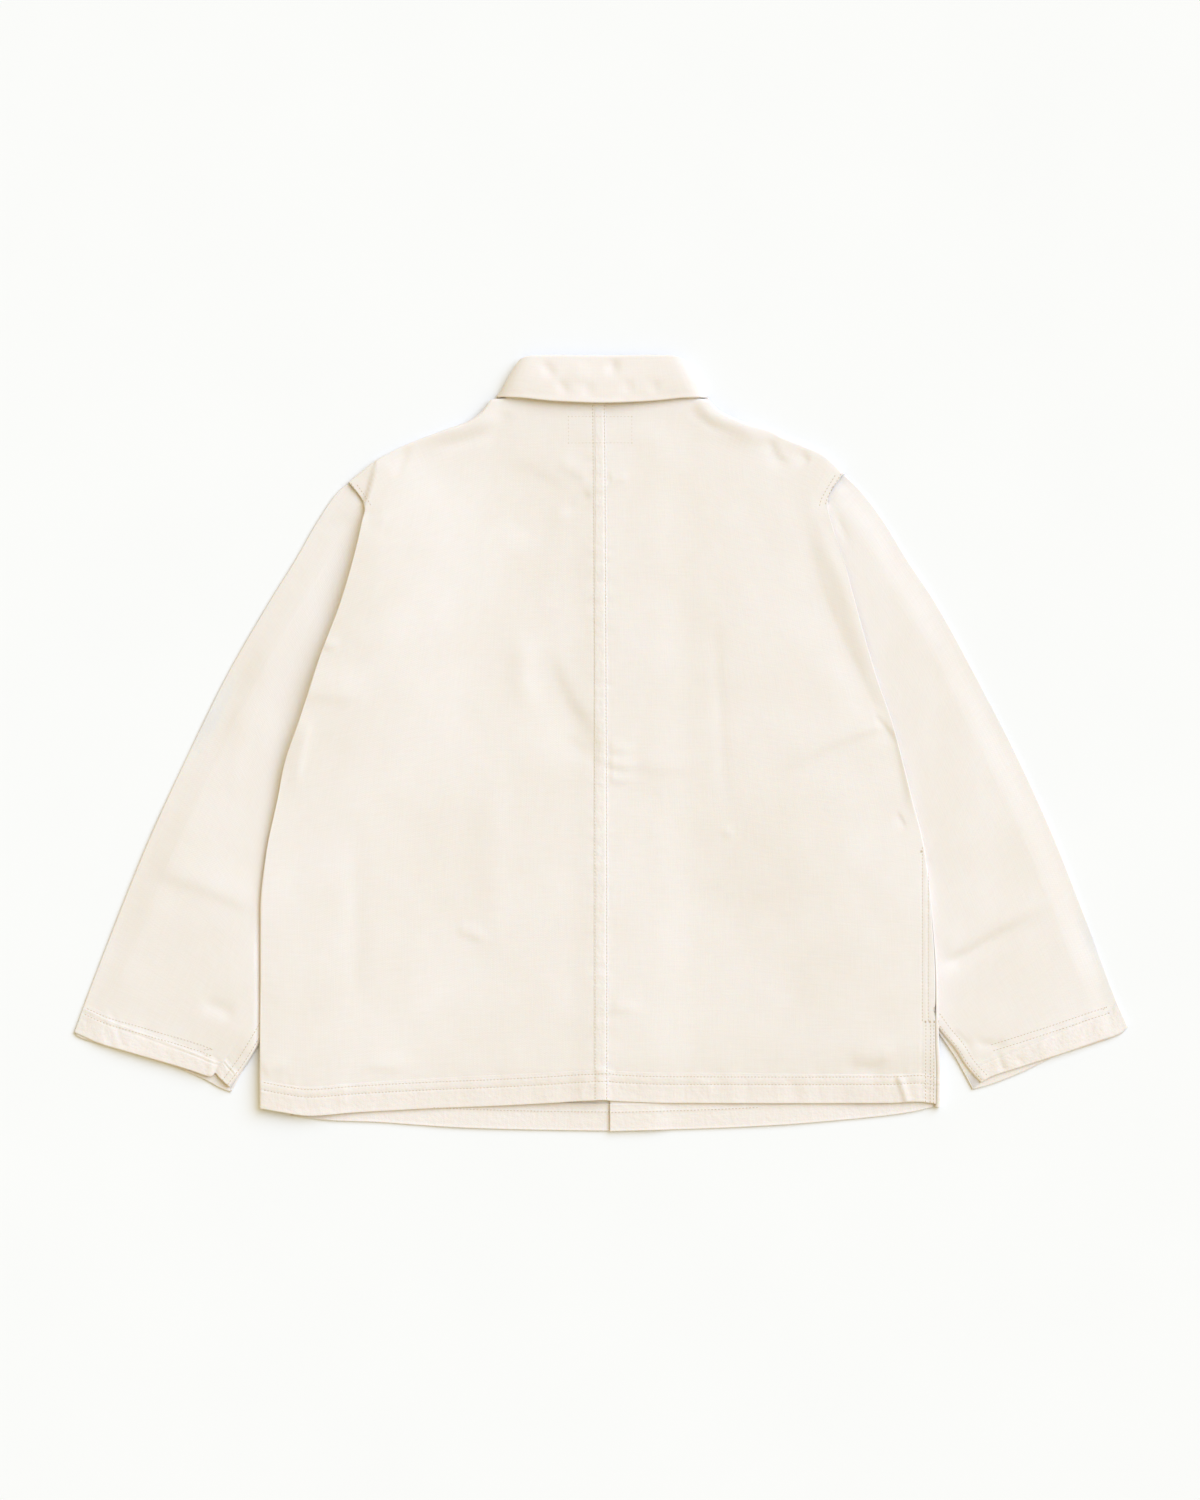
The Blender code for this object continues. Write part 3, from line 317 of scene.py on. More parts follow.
# Creases: `height` is the middle's rise, a trough where it is negative, `left` and `right` are its flanks'
# widths to either hand of its run, and `ends` the shares of its length over which it starts and dies away.
Crease = namedtuple("Crease", "height left right ends run")
BODY_CREASES = [
    # below the shoulder seams, pulled down by the weight of the collar
    Crease(3.6, 8.0, 12.0, (0.4, 0.4),
           [(-84, 326), (-96, 318), (-108, 307), (-128, 299), (-150, 292), (-174, 285)]),
    Crease(-1.6, 6.0, 16.0, (0.15, 0.4),
           [(-84, 316), (-94, 307), (-106, 295), (-126, 289), (-148, 282), (-166, 277)]),
    Crease(2.8, 8.0, 11.0, (0.12, 0.4),
           [(88, 329), (100, 313), (114, 305), (134, 298), (152, 292), (166, 286)]),
    Crease(-1.3, 7.0, 5.0, (0.15, 0.5), [(82, 322), (93, 309), (106, 300), (120, 296), (142, 290)]),
    Crease(-1.2, 2.4, 8.0, (0.3, 0.4), [(-183, 284), (-187, 271), (-197, 251)]),
    Crease(-1.4, 2.0, 10.0, (0.2, 0.4), [(160, 290), (163, 280), (167, 272), (179, 263)]),
    Crease(-1.2, 1.8, 8.0, (0.3, 0.3), [(188, 279), (192, 273), (197, 265)]),
    Crease(-1.2, 8.0, 16.0, (0.3, 0.5), [(-100, 264), (-70, 254), (-46, 242), (-20, 236)]),
    # about the centre back seam
    Crease(0.9, 9.0, 5.0, (0.3, 0.3), [(-44, 268), (-28, 260), (-12, 250)]),
    Crease(0.8, 8.0, 4.0, (0.1, 0.5), [(7, 249), (16, 250), (28, 256)]),
    Crease(-1.2, 7.0, 6.0, (0.4, 0.2), [(-40, 217), (-26, 225), (-10, 237)]),
    Crease(-2.0, 26.0, 26.0, (0.4, 0.4), [(-92, 236), (-66, 214), (-38, 198)]),
    Crease(-2.8, 9.0, 28.0, (0.35, 0.3),
           [(-56, 96), (-48, 66), (-34, 34), (-18, 10), (-11, -14), (-11, -36)]),
    Crease(1.5, 11.0, 13.0, (0.4, 0.4), [(-76, 110), (-76, 70), (-68, 30)]),
    Crease(0.9, 7.0, 3.2, (0.1, 0.6), [(6, -4), (18, -6), (34, -5)]),
    Crease(1.3, 8.0, 3.4, (0.1, 0.6), [(6, -19), (20, -21), (38, -18)]),
    Crease(1.0, 6.0, 3.2, (0.1, 0.6), [(6, -32), (20, -35), (36, -32)]),
    Crease(0.6, 12.0, 5.0, (0.2, 0.5), [(30, -19), (60, -23), (98, -22)]),
    Crease(0.7, 8.0, 4.0, (0.4, 0.1), [(-34, 11), (-22, 4), (-11, -2)]),
    # inside the side folds
    Crease(-1.2, 8.0, 16.0, (0.5, 0.12),
           [(176, 258), (184, 228), (193, 196), (207, 146), (224, 104), (244, 62), (258, 32), (267, 16)]),
    Crease(1.3, 9.0, 9.0, (0.35, 0.35),
           [(206, 228), (212, 190), (226, 158), (238, 122), (250, 86), (262, 50)]),
    Crease(-1.3, 3.4, 12.0, (0.35, 0.4), [(254, 31), (263, 20), (272, 9), (279, -4)]),
    Crease(1.9, 8.0, 5.0, (0.2, 0.4), [(276, 22), (283, 4), (287, -16), (292, -42), (299, -76)]),
    Crease(1.6, 5.5, 16.0, (0.1, 0.5), [(270, 18), (256, 15), (236, 9), (206, -4), (180, -18), (154, -32)]),
    Crease(-0.7, 1.6, 6.0, (0.3, 0.3), [(278, -65), (284, -73), (288, -81)]),
    Crease(1.4, 22.0, 9.0, (0.1, 0.5), [(-283, 52), (-266, 49), (-248, 47), (-218, 45)]),
    Crease(1.2, 7.0, 4.0, (0.1, 0.5), [(-268, 96), (-258, 93), (-246, 92)]),
    Crease(1.4, 6.0, 11.0, (0.3, 0.4), [(-276, 30), (-282, 8), (-287, -16), (-293, -50)]),
    # long soft waves down the lower half
    Crease(-0.9, 10.0, 9.0, (0.3, 0.3), [(-233, -69), (-234, -160), (-232, -267)]),
    Crease(-0.6, 5.0, 6.0, (0.3, 0.3), [(106, 129), (110, 60), (114, 0), (118, -76)]),
    Crease(0.9, 3.0, 3.4, (0.3, 0.3), [(115, -78), (119, -84), (122, -91)]),
    Crease(0.7, 12.0, 16.0, (0.4, 0.4), [(-96, 40), (-104, -90), (-100, -230)]),
    Crease(1.1, 7.0, 3.6, (0.3, 0.3), [(-140, -174), (-124, -180), (-108, -188)]),
    Crease(1.1, 12.0, 5.0, (0.35, 0.35), [(232, -300), (258, -299), (282, -290)]),
    Crease(-1.2, 12.0, 8.0, (0.3, 0.4), [(226, -312), (252, -310), (276, -304)]),
    Crease(1.5, 4.0, 2.8, (0.25, 0.1), [(279, -312), (284, -324), (288, -336), (290, -342)]),
    Crease(1.0, 9.0, 6.0, (0.2, 0.5), [(-322, -312), (-310, -306), (-292, -304)]),
    Crease(0.9, 10.0, 5.0, (0.4, 0.4), [(-232, -303), (-203, -306), (-176, -305)]),
    Crease(0.8, 8.0, 4.0, (0.3, 0.5), [(6, -248), (22, -252), (40, -251)]),
    Crease(0.8, 3.0, 4.0, (0.3, 0.2), [(-246, -322), (-243, -333), (-247, -344)]),
    Crease(0.8, 2.8, 3.4, (0.3, 0.2), [(96, -318), (102, -327), (103, -337)]),
    Crease(-0.7, 2.8, 3.4, (0.3, 0.2), [(176, -316), (181, -327), (179, -338)]),
]
SLEEVE_CREASES = {
    LEFT: [
        Crease(1.4, 20.0, 8.0, (0.3, 0.2), [(-430, -116), (-378, -134), (-326, -156)]),
        Crease(-1.3, 7.0, 7.0, (0.4, 0.3), [(-383, -245), (-366, -250), (-346, -259)]),
        Crease(-1.2, 16.0, 16.0, (0.2, 0.3),
               [(-246, 226), (-243, 190), (-262, 140), (-286, 80), (-303, 20), (-318, -50)]),
        Crease(-1.1, 14.0, 12.0, (0.4, 0.4), [(-330, 96), (-352, 40), (-380, -30)]),
        Crease(1.0, 10.0, 14.0, (0.4, 0.4), [(-322, 60), (-344, 0), (-356, -60)]),
        Crease(-1.2, 2.6, 3.0, (0.1, 0.5), [(-367, -315), (-366.5, -306), (-363, -296)]),
        Crease(0.9, 2.6, 2.6, (0.1, 0.5), [(-371, -315), (-370, -306), (-368, -298)]),
    ],
    RIGHT: [
        Crease(-3.2, 4.0, 10.0, (0.2, 0.55), [(316, -213), (345, -200), (380, -180), (430, -155)]),
        Crease(1.0, 14.0, 9.0, (0.15, 0.5), [(318, -198), (348, -185), (384, -164), (426, -142)]),
        Crease(1.0, 4.0, 2.8, (0.1, 0.6), [(228, 255), (233, 254), (239, 250)]),
        Crease(1.2, 4.0, 2.8, (0.1, 0.6), [(219, 239), (225, 238), (231, 234)]),
        Crease(-0.7, 3.5, 4.5, (0.3, 0.5), [(220, 222), (227, 206), (236, 184)]),
        Crease(-1.0, 2.6, 3.4, (0.1, 0.5), [(381, -311), (378, -303), (376, -296), (370, -290)]),
        Crease(-0.7, 3.4, 3.0, (0.1, 0.6), [(400, -305), (396, -300), (389, -297)]),
        Crease(-1.2, 3.6, 4.6, (0.3, 0.3), [(352, -283), (362, -285), (372, -286), (384, -281)]),
        Crease(-0.9, 3.0, 4.0, (0.3, 0.3), [(330, -270), (340, -280), (352, -289)]),
    ],
}
COLLAR_CREASES = [
    Crease(-2.6, 3.5, 5.0, (0.1, 0.5), [(14, 369), (11, 357), (7, 345)]),
    Crease(-1.4, 3.0, 4.0, (0.5, 0.2), [(-12, 345), (-13, 338), (-15, 329)]),
    Crease(-1.4, 3.0, 4.0, (0.4, 0.2), [(-42, 346), (-37, 338), (-33, 330)]),
    Crease(-1.5, 4.0, 5.0, (0.4, 0.4), [(-58, 364), (-50, 353), (-46, 344)]),
    Crease(-1.2, 3.4, 4.4, (0.4, 0.3), [(24, 346), (25, 338), (25, 330)]),
    Crease(-1.1, 3.0, 4.0, (0.4, 0.3), [(49, 346), (50, 338), (50, 330)]),
    Crease(0.8, 9.0, 9.0, (0.3, 0.3), [(-30, 358), (-22, 350), (-20, 340)]),
]
# Broad unevenness of the laid cloth: so many waves of these lengths, each as steep as the others
WAVE_COUNT, WAVE_SHORT, WAVE_LONG, WAVE_SLOPE = 34, 34.0, 330.0, 0.0008
PUCKER_COUNT = 9  # ripples of different lengths along a seam


# ---------------------------------------------------------------- lines, sheets and heights


def ease(share):
    """0 to 1 with soft ends."""
    share = np.clip(share, 0.0, 1.0)
    return share * share * (3.0 - 2.0 * share)


def smooth(places, values, at):
    """Values read from a smooth curve through a table's rows that never swings past them."""
    places, values, at = (np.asarray(part, float) for part in (places, values, at))
    gaps = np.diff(places)
    slopes = np.diff(values) / gaps
    both = slopes[1:] * slopes[:-1]
    inner = np.where(both > 0, 2 * both / np.where(both > 0, slopes[1:] + slopes[:-1], 1), 0)
    slopes = np.concatenate([slopes[:1], inner, slopes[-1:]])
    index = np.clip(np.searchsorted(places, at) - 1, 0, len(gaps) - 1)
    gap = gaps[index]
    t = np.clip((at - places[index]) / gap, 0.0, 1.0)
    start, end = values[index], values[index + 1]
    leave, arrive = slopes[index] * gap, slopes[index + 1] * gap
    cubic = leave + arrive + 2 * (start - end)
    square = 3 * (end - start) - 2 * leave - arrive
    return start + t * (leave + t * (square + t * cubic))


def column(rows, name, at_y):
    """One column of a table, read at heights y."""
    return smooth([row.y for row in rows], [getattr(row, name) for row in rows], at_y)


def gaps(run):
    """Distances from each point of a run to the next."""
    return np.linalg.norm(np.diff(np.array(run, float), axis=0), axis=1)


def travelled(steps):
    """How far along a run each of its points lies."""
    return np.concatenate([[0.0], np.cumsum(steps)])


def line(run):
    """A smooth line through points, as a function of the share of its length."""
    run = np.array(run, float)
    lengths = gaps(run)
    places = travelled(lengths) / lengths.sum()

    def at(share):
        return np.stack([smooth(places, run[:, i], share) for i in range(2)], axis=-1)

    at.length = lengths.sum()
    return at


def patch(bottom, top, inner, outer, across, up):
    """Points of a sheet held between four edge lines."""
    u, v = across[..., None], up[..., None]
    zero, one = np.zeros_like(across), np.ones_like(across)
    between = (1 - v) * bottom(across) + v * top(across) + (1 - u) * inner(up) + u * outer(up)
    corners = (1 - u) * ((1 - v) * bottom(zero) + v * top(zero))
    return between - corners - u * ((1 - v) * bottom(one) + v * top(one))


def spread(start, *runs):
    """Places from start on, each run going to its end in steps of about the given size."""
    places = [start]
    for end, step in runs:
        count = max(1, round((end - places[-1]) / step))
        places += list(np.linspace(places[-1], end, count + 1)[1:])
    return np.array(places)


def creases(table, x, y):
    """Summed rise of a table of creases at points of the plan."""
    total = np.zeros(np.shape(x))
    for crease in table:
        run = line(crease.run)(np.linspace(0, 1, 3 * len(crease.run)))
        lengths = gaps(run)
        starts = travelled(lengths)
        near = np.full(np.shape(x), 1e9)
        share, side = np.zeros(np.shape(x)), np.zeros(np.shape(x))
        for i, ((ax, ay), (bx, by)) in enumerate(zip(run, run[1:])):
            dx, dy = (bx - ax) / lengths[i], (by - ay) / lengths[i]
            along = np.clip((x - ax) * dx + (y - ay) * dy, 0, lengths[i])
            offset = (y - ay) * dx - (x - ax) * dy
            gap = np.hypot(x - ax - along * dx, y - ay - along * dy)
            closer = gap < near
            near = np.where(closer, gap, near)
            share = np.where(closer, (starts[i] + along) / starts[-1], share)
            side = np.where(closer, offset, side)
        width = np.where(side > 0, crease.left, crease.right)
        fade = ease(share / crease.ends[0]) * ease((1 - share) / crease.ends[1])
        total += crease.height * fade * np.exp(-((near / width) ** 2))
    return total


def waves(x, y):
    """Broad soft unevenness of laid cloth."""
    chance = np.random.default_rng(41)
    total = np.zeros(np.shape(x))
    for length in np.geomspace(WAVE_SHORT, WAVE_LONG, WAVE_COUNT):
        angle, phase = chance.uniform(0, 2 * math.pi, 2)
        along = x * math.cos(angle) + y * math.sin(angle)
        total += WAVE_SLOPE * length * np.sin(2 * math.pi * along / length + phase)
    return total


def pucker(along, across, shortest, longest, seed):
    """Uneven ripples that a row of stitches draws up: of many lengths, leaning either way, and patchy."""
    chance = np.random.default_rng(seed)
    total = np.zeros(np.shape(along))
    lengths = np.geomspace(shortest, longest, PUCKER_COUNT)
    for length in lengths:
        phase, start = chance.uniform(0, 2 * math.pi, 2)
        lean, beat = chance.uniform(-0.7, 0.7), chance.uniform(2.4, 5.5)
        ripple = np.sin(2 * math.pi * (along + lean * across) / length + phase)
        there = np.clip(0.35 + np.sin(2 * math.pi * along / (beat * length) + start), 0, 1)
        total += ripple * there * (length / longest) ** 0.5
    return total / PUCKER_COUNT**0.5


def groove(distance, width=0.9):
    """1 on a line and 0 well away from it."""
    return np.exp(-((distance / width) ** 2))


def band(distance, half, width):
    """1 across a band on both sides of a line and 0 well away from it."""
    return groove(np.clip(np.abs(distance) - half, 0, None), width)


def left_front_height(x, y):
    """Outer face of the left front, which lies on the floor but for the buttons and the collar leaf."""
    over_buttons = ease((x - (RIGHT_FRONT_EDGE - PLACKET_SLOPE)) / PLACKET_SLOPE)
    over_buttons = over_buttons * ease((y - PLACKET_FALL_Y) / PLACKET_FALL)
    return PLACKET_LIFT * np.maximum(over_buttons, over_leaf(x, y))


def over_leaf(x, y):
    """1 where the collar leaf lies under a front, 0 clear of it."""
    reach = np.hypot(x - NECK_MIDDLE[0], y - NECK_MIDDLE[1])
    return 1 - ease((reach - LEAF_REACH) / PLACKET_SLOPE)


def right_front_height(x, y):
    """Outer face of the right front, which laps on the left one."""
    hem = 1 - ease((y - FRONT_HEM_TOP_Y) / 12.0)
    left = left_front_height(np.minimum(x, LEFT_FRONT_EDGE), y)
    lapped = left + 1.1 + hem * 0.8 + SEAM
    lap = 1 - ease((x - LEFT_FRONT_EDGE - 4.0) / PLACKET_SLOPE)
    return lapped * lap + PLACKET_LIFT * over_leaf(x, y) * (1 - lap)


def front_height(side, out, y):
    """Outer face of either front."""
    return left_front_height(-out, y) if side == LEFT else right_front_height(out, y)


def centre_back_x(y):
    """X of the lapped edge of the centre back seam."""
    return column(CENTRE_BACK[RIGHT], "out", y)


def over_placket(x, y):
    """1 where the back lies on the lapped fronts, 0 clear of them."""
    rises = ease((x - RIGHT_FRONT_EDGE + LAPPED_SLOPE) / 34)
    share = rises * (1 - ease((x - LEFT_FRONT_EDGE - 6) / LAPPED_SLOPE))
    return share * (1 - ease((y - LAPPED_TOP_Y) / PLACKET_SLOPE))


def back_height(side, out, y, wall):
    """Outer face of the back before its creases."""
    rows = SIDES[side]
    x = side * out
    height = BACK_REST + BACK_OVER_PLACKET * over_placket(x, y)
    height = height + NECK_REST * ease((y - NECK_REST_Y) / 30.0)
    foot = column(rows, "foot", y)
    tall = column(rows, "top", np.minimum(y, SHOULDER_Y))
    wide = ease(1 + (out - foot) / SIDE_SLOPE[side]) * (1 - ease((y - SHOULDER_Y) / SHOULDER_FADE))
    height = height + (tall - height) * wide
    height = height + (column(rows, "top", y) - height) * ease(1 + (out - foot) / EDGE_SLOPE)
    if side == LEFT:
        edge = -out - centre_back_x(y)
        lift = wall + LAP_GAP + HEM_PLY * (1 - ease((y - BACK_HEM_TOP_Y) / HEM_EASE))
        height = height + lift * ease((edge + LAP_WIDTH + 1.5 + LAP_SLOPE) / LAP_SLOPE)
        height = shoulder_fold(height, column(rows, "top", y), out, y)
    return height


def shoulder_fold(height, low, out, y):
    """The left back stands up along a fold that starts at the shoulder, before the side fold proper."""
    crest = column(SHOULDER_LINE, "out", y)
    stand = SHOULDER_FOLD - SHOULDER_FALL * (y - FOLD_FOOT_Y - 2.0)
    past = np.clip(out - crest, 0, None)
    begins = ease((y - FOLD_FOOT_Y) / 14.0)
    drops = ease(past / SHOULDER_DROP)
    height = height + (low - height) * drops * begins
    falls = 0.5 * (1 - drops) + 0.5 * np.exp(-past / SHOULDER_SETTLE)
    stands = falls * ease((out - crest + SHOULDER_SLOPE) / SHOULDER_SLOPE)
    return height + (stand - height) * stands * begins * ease((FOLD_END_Y - y) / 12.0)


def hem_sag(x, y, distance):
    """How far the back sinks onto the fronts towards its hem."""
    lifts = sum(rise * groove(x - place, reach) for place, reach, rise in HEM_LIFTS)
    near = 1 - ease(distance / HEM_SAG_WIDTH)
    inside = ease((HEM_SAG_OUT - np.abs(x)) / 34.0)
    return (HEM_SAG - lifts) * near * inside


def kept_clear(rise, x, y):
    """A relief whose troughs stop short of the layers below."""
    limit = DEEPEST - DEEPEST_LESS * np.maximum(over_placket(x, y), over_leaf(x, y))
    half = 0.45 * limit
    deep = np.clip(-rise - half, 0.0, None)
    return np.where(rise < -half, -half - (limit - half) * np.tanh(deep / (limit - half)), rise)


def hem_distance(edge, out, y):
    """How far a point lies above a hem's edge."""
    return y - smooth([point.out for point in edge], [point.y for point in edge], out)


def body_relief(x, y):
    """Creases and seams of the body's upper layer, shared by every piece that reaches it."""
    rise = creases(BODY_CREASES, x, y) + waves(x, y)
    edge = x - centre_back_x(y)
    beside = band(edge + 6.0, 6.0, 6.0)
    rise += 0.42 * pucker(y, edge, 8.5, 26.0, 3) * beside
    rise += 0.2 * np.exp(-(((edge + 6.5) / 5.4) ** 4))
    for row, deep in zip(LAP_ROWS, LAP_GROOVES):
        rise -= deep * groove(edge + row, 1.1)
    for row_x, top, bottom in SIDE_SEAM_ROWS:
        rise -= 0.25 * groove(x - row_x, 1.1) * ease((top - y) / 6.0)
    below = ease((-100.0 - y) / 12.0)
    rise += 0.3 * pucker(y, x, 8.5, 22.0, 5) * groove(x - 309.0, 6.0) * below
    return rise


def hem_relief(distance, along):
    """A turned hem: its plies stand up a little, its rows sink in, and it ripples between them."""
    rise = 0.45 * (1 - ease((distance - HEM_ROWS[1]) / 2.5))
    rise -= 0.2 * groove(distance, 0.8)
    for row in HEM_ROWS:
        rise -= 0.3 * groove(distance - row, 1.2)
    near = band(distance - 16.0, 11.0, 7.0)
    return rise + 0.4 * pucker(along, distance, 11.0, 40.0, 7) * near


def fold_radii(rows, y):
    """Half the height of a side fold, and how far in it reaches from its edge."""
    top, under, hover = (column(rows, name, y) for name in ("top", "under", "hover"))
    return (top - under - hover) / 2, FOLD_SHARPNESS * (top - under - hover) / 2


def round_fold(rows, y, way, falls=1.0):
    """(out, z) at a way round the side fold: negative on the back, positive on the flap below it."""
    fold, foot, sleeve, top, under, hover = (
        column(rows, name, y) for name in ("fold", "foot", "sleeve", "top", "under", "hover")
    )
    radius, reach = fold_radii(rows, y)
    inwards = 1 - np.clip(np.abs(way) / reach, 0, 1)
    rise = radius * np.sqrt(1 - inwards**2)
    z = top - radius - np.sign(way) * rise
    start = np.minimum(fold - sleeve + 1.5, fold - foot)
    step = ease((way - start + 1e-6) / (fold - foot - start + 1e-6))
    settled = ease((way - reach) / np.clip(fold - foot - reach, 3.0, None))
    flap = (under + hover * (1 - settled)) * (1 - falls * step)
    return fold - np.abs(way), np.where(way > reach, flap, z)


def fold_ways(rows, y):
    """Ways round the fold at which a sheet has a column, one row for each height y."""
    fold, foot, sleeve = (column(rows, name, y) for name in ("fold", "foot", "sleeve"))
    radius = fold_radii(rows, y)[1]
    start = np.maximum(np.minimum(fold - sleeve + 1.5, fold - foot), radius)
    bends = [radius * (1 - math.cos(math.radians(angle))) for angle in FOLD_ANGLES]
    ways = [-bend for bend in bends] + bends[::-1]
    ways += [radius + share * (start - radius) for share in np.linspace(0, 1, 9)]
    ways += [start + share * (fold - foot - start) for share in np.linspace(0, 1, 7)[1:]]
    return np.stack(ways, axis=-1)


def seam_way(side, y, towards):
    """The way round the side fold of a panel's edge at the side seam, open at the pocket slit."""
    slit = 0.0
    if side == RIGHT:
        gapes = sum(width * groove(y - place, reach) for place, reach, width in SLIT_GAPES)
        slit = (SLIT_OPEN + gapes) * ease((y - SLIT_BOTTOM) / 5) * ease((SLIT_TOP - y) / 5)
    return column(SIDES[side], "seam", y) + towards * (SIDE_GAP + slit)


def neck_points(side, rows):
    """Points of the collar's neck seam."""
    return [Point(row.neck_out + side * row.shift * CENTRE_FRONT, row.neck_y) for row in rows]


def clear_of_neck(point):
    """A point of the neck seam, moved out of the collar's way."""
    away = np.array([point.out, point.y]) - np.array([0.0, NECK_MIDDLE[1]])
    away = away / np.linalg.norm(away) * NECK_GAP
    return Point(point.out + away[0], point.y + away[1])


def tip(side):
    """Where the shoulder seam meets the armhole."""
    row = SIDES[side][-1]
    return Point(row.foot, row.y)


def shoulder_roll(points, inner_share, across, roll, other_z):
    """Turns the last rows down, or up, so that back and front meet at the crest of the shoulder."""
    share = ease((across - inner_share) / 0.03)
    middle = (points[..., 2] + other_z) / 2 + np.sign(points[..., 2] - other_z) * CREST_GAP
    turned = middle + (points[..., 2] - middle) * roll
    points[..., 2] += (turned - points[..., 2]) * share
    return points


def rows_up(outer, step, hem):
    """Shares up a panel for its rows: dense at the hem, then even, then round the shoulder's roll."""
    length = outer.length
    ends = [ROLL_RADIUS * (1 - math.cos(math.radians(a))) for a in (90, 75, 60, 45, 30, 15, 3)]
    rolls = [math.sin(math.radians(a)) for a in (75, 60, 45, 30, 15, 3)]
    places = spread(0.0, *hem, (length - ends[0], step))
    shares = np.concatenate([places / length, [1 - end / length for end in ends[1:]]])
    return shares, np.concatenate([np.ones(len(places)), rolls])


# ---------------------------------------------------------------- panels


def cut_out(grid, side, measured, lengths, wall, hemmed, ply):
    """A panel on its own side, with its flat cut (u, v), measured along one row, and its walls."""
    grid = grid.copy()
    grid[..., 0] *= side
    flat = np.zeros(grid.shape[:2] + (2,))
    flat[..., 0] = travelled(gaps(grid[measured]))
    flat[..., 1] = lengths[:, None]
    thick = np.full(grid.shape[:2], wall)
    thick[hemmed] += ply
    return grid, flat, thick


def back_panel(side, wall, step):
    """Half the back, round its side fold to the side seam."""
    rows = SIDES[side]
    corner_y, tip_y = rows[0].y, rows[-1].y
    neck = neck_points(side, COLLAR[:4])
    centre = CENTRE_BACK[side]
    if side == RIGHT:
        centre = [Point(point.out - LAP_WIDTH + 2.0, point.y) for point in centre]
    edge_y = np.linspace(corner_y, tip_y, 90)
    radius = fold_radii(rows, edge_y)[1]
    fold_start = column(rows, "fold", edge_y) - np.maximum(radius, -seam_way(side, edge_y, -1))
    outer = line(np.stack([fold_start, edge_y], axis=-1))
    top = [centre[-1]] + neck[1:3] + [Point(neck[3].out + 1.5, neck[3].y + 2.4)] + SHOULDER[side]
    top.append(Point(fold_start[-1], tip_y))
    top = [Point(point.out, point.y - (SEAM if i < 3 else 0)) for i, point in enumerate(top)]
    bottom = [centre[0]] + BACK_HEM[side] + [Point(fold_start[0], corner_y)]
    lengths = gaps(top)
    length = lengths.sum()
    neck_share = lengths[:3].sum() / length
    if side == LEFT:
        across = spread(0.0, (3.0, 0.6), (19.0, 0.9), (26.0, 2.0), (length - 40.0, 3.3), (length, 1.3))
    else:
        across = spread(0.0, (10.0, 2.5), (26.0, 1.6), (length - 40.0, 3.3), (length, 1.0))
    across = across / length
    up, rolls = rows_up(outer, step, HEM_RUNS)
    u, v = np.meshgrid(across, up)
    plan = patch(line(bottom), line(top), line(centre), outer, u, v)
    x, y = side * plan[..., 0], plan[..., 1]
    z = back_height(side, plan[..., 0], y, wall)
    hem = hem_distance(bottom[1:], plan[..., 0], y)
    fade = rolls[:, None] * np.ones_like(z)
    z = z + (kept_clear(body_relief(x, y), x, y) + hem_relief(hem, x) - hem_sag(x, y, hem)) * fade
    main = np.concatenate([plan, z[..., None]], axis=-1)
    main = shoulder_roll(main, neck_share, u, rolls[:, None], front_height(side, plan[..., 0], y))
    row_y = outer(up)[:, 1]
    ways = np.minimum(fold_ways(rows, row_y), seam_way(side, row_y, -1)[:, None])
    falls = 0.0
    if side == LEFT:
        falls = np.clip((column(rows, "sleeve", row_y) - column(rows, "foot", row_y)) / 12.0, 0, 1)
        falls = np.where(row_y > ARMPIT_Y, 0.0, falls)[:, None]
    out, z = round_fold(rows, row_y[:, None], ways, falls)
    wide_y = np.broadcast_to(row_y[:, None], out.shape)
    z = z + fold_relief(rows, side, out, wide_y, ways, wide_y - corner_y)
    flap = np.stack([out, wide_y, z], axis=-1)
    flap = shoulder_roll(flap, neck_share, np.ones_like(z), rolls[:, None], np.zeros_like(z))
    grid = np.concatenate([main, flap], axis=1)
    heights = up * outer.length
    return cut_out(grid, side, len(grid) // 3, heights, wall, heights < HEM_DEPTH, HEM_PLY)


def fold_relief(rows, side, out, y, ways, hem):
    """The body's relief, carried on to the crest of a side fold and dying away there."""
    radius = fold_radii(rows, y)[1]
    fade = np.sqrt(np.clip(-ways / radius, 0, 1))
    return (body_relief(side * out, y) + hem_relief(hem, side * out)) * fade


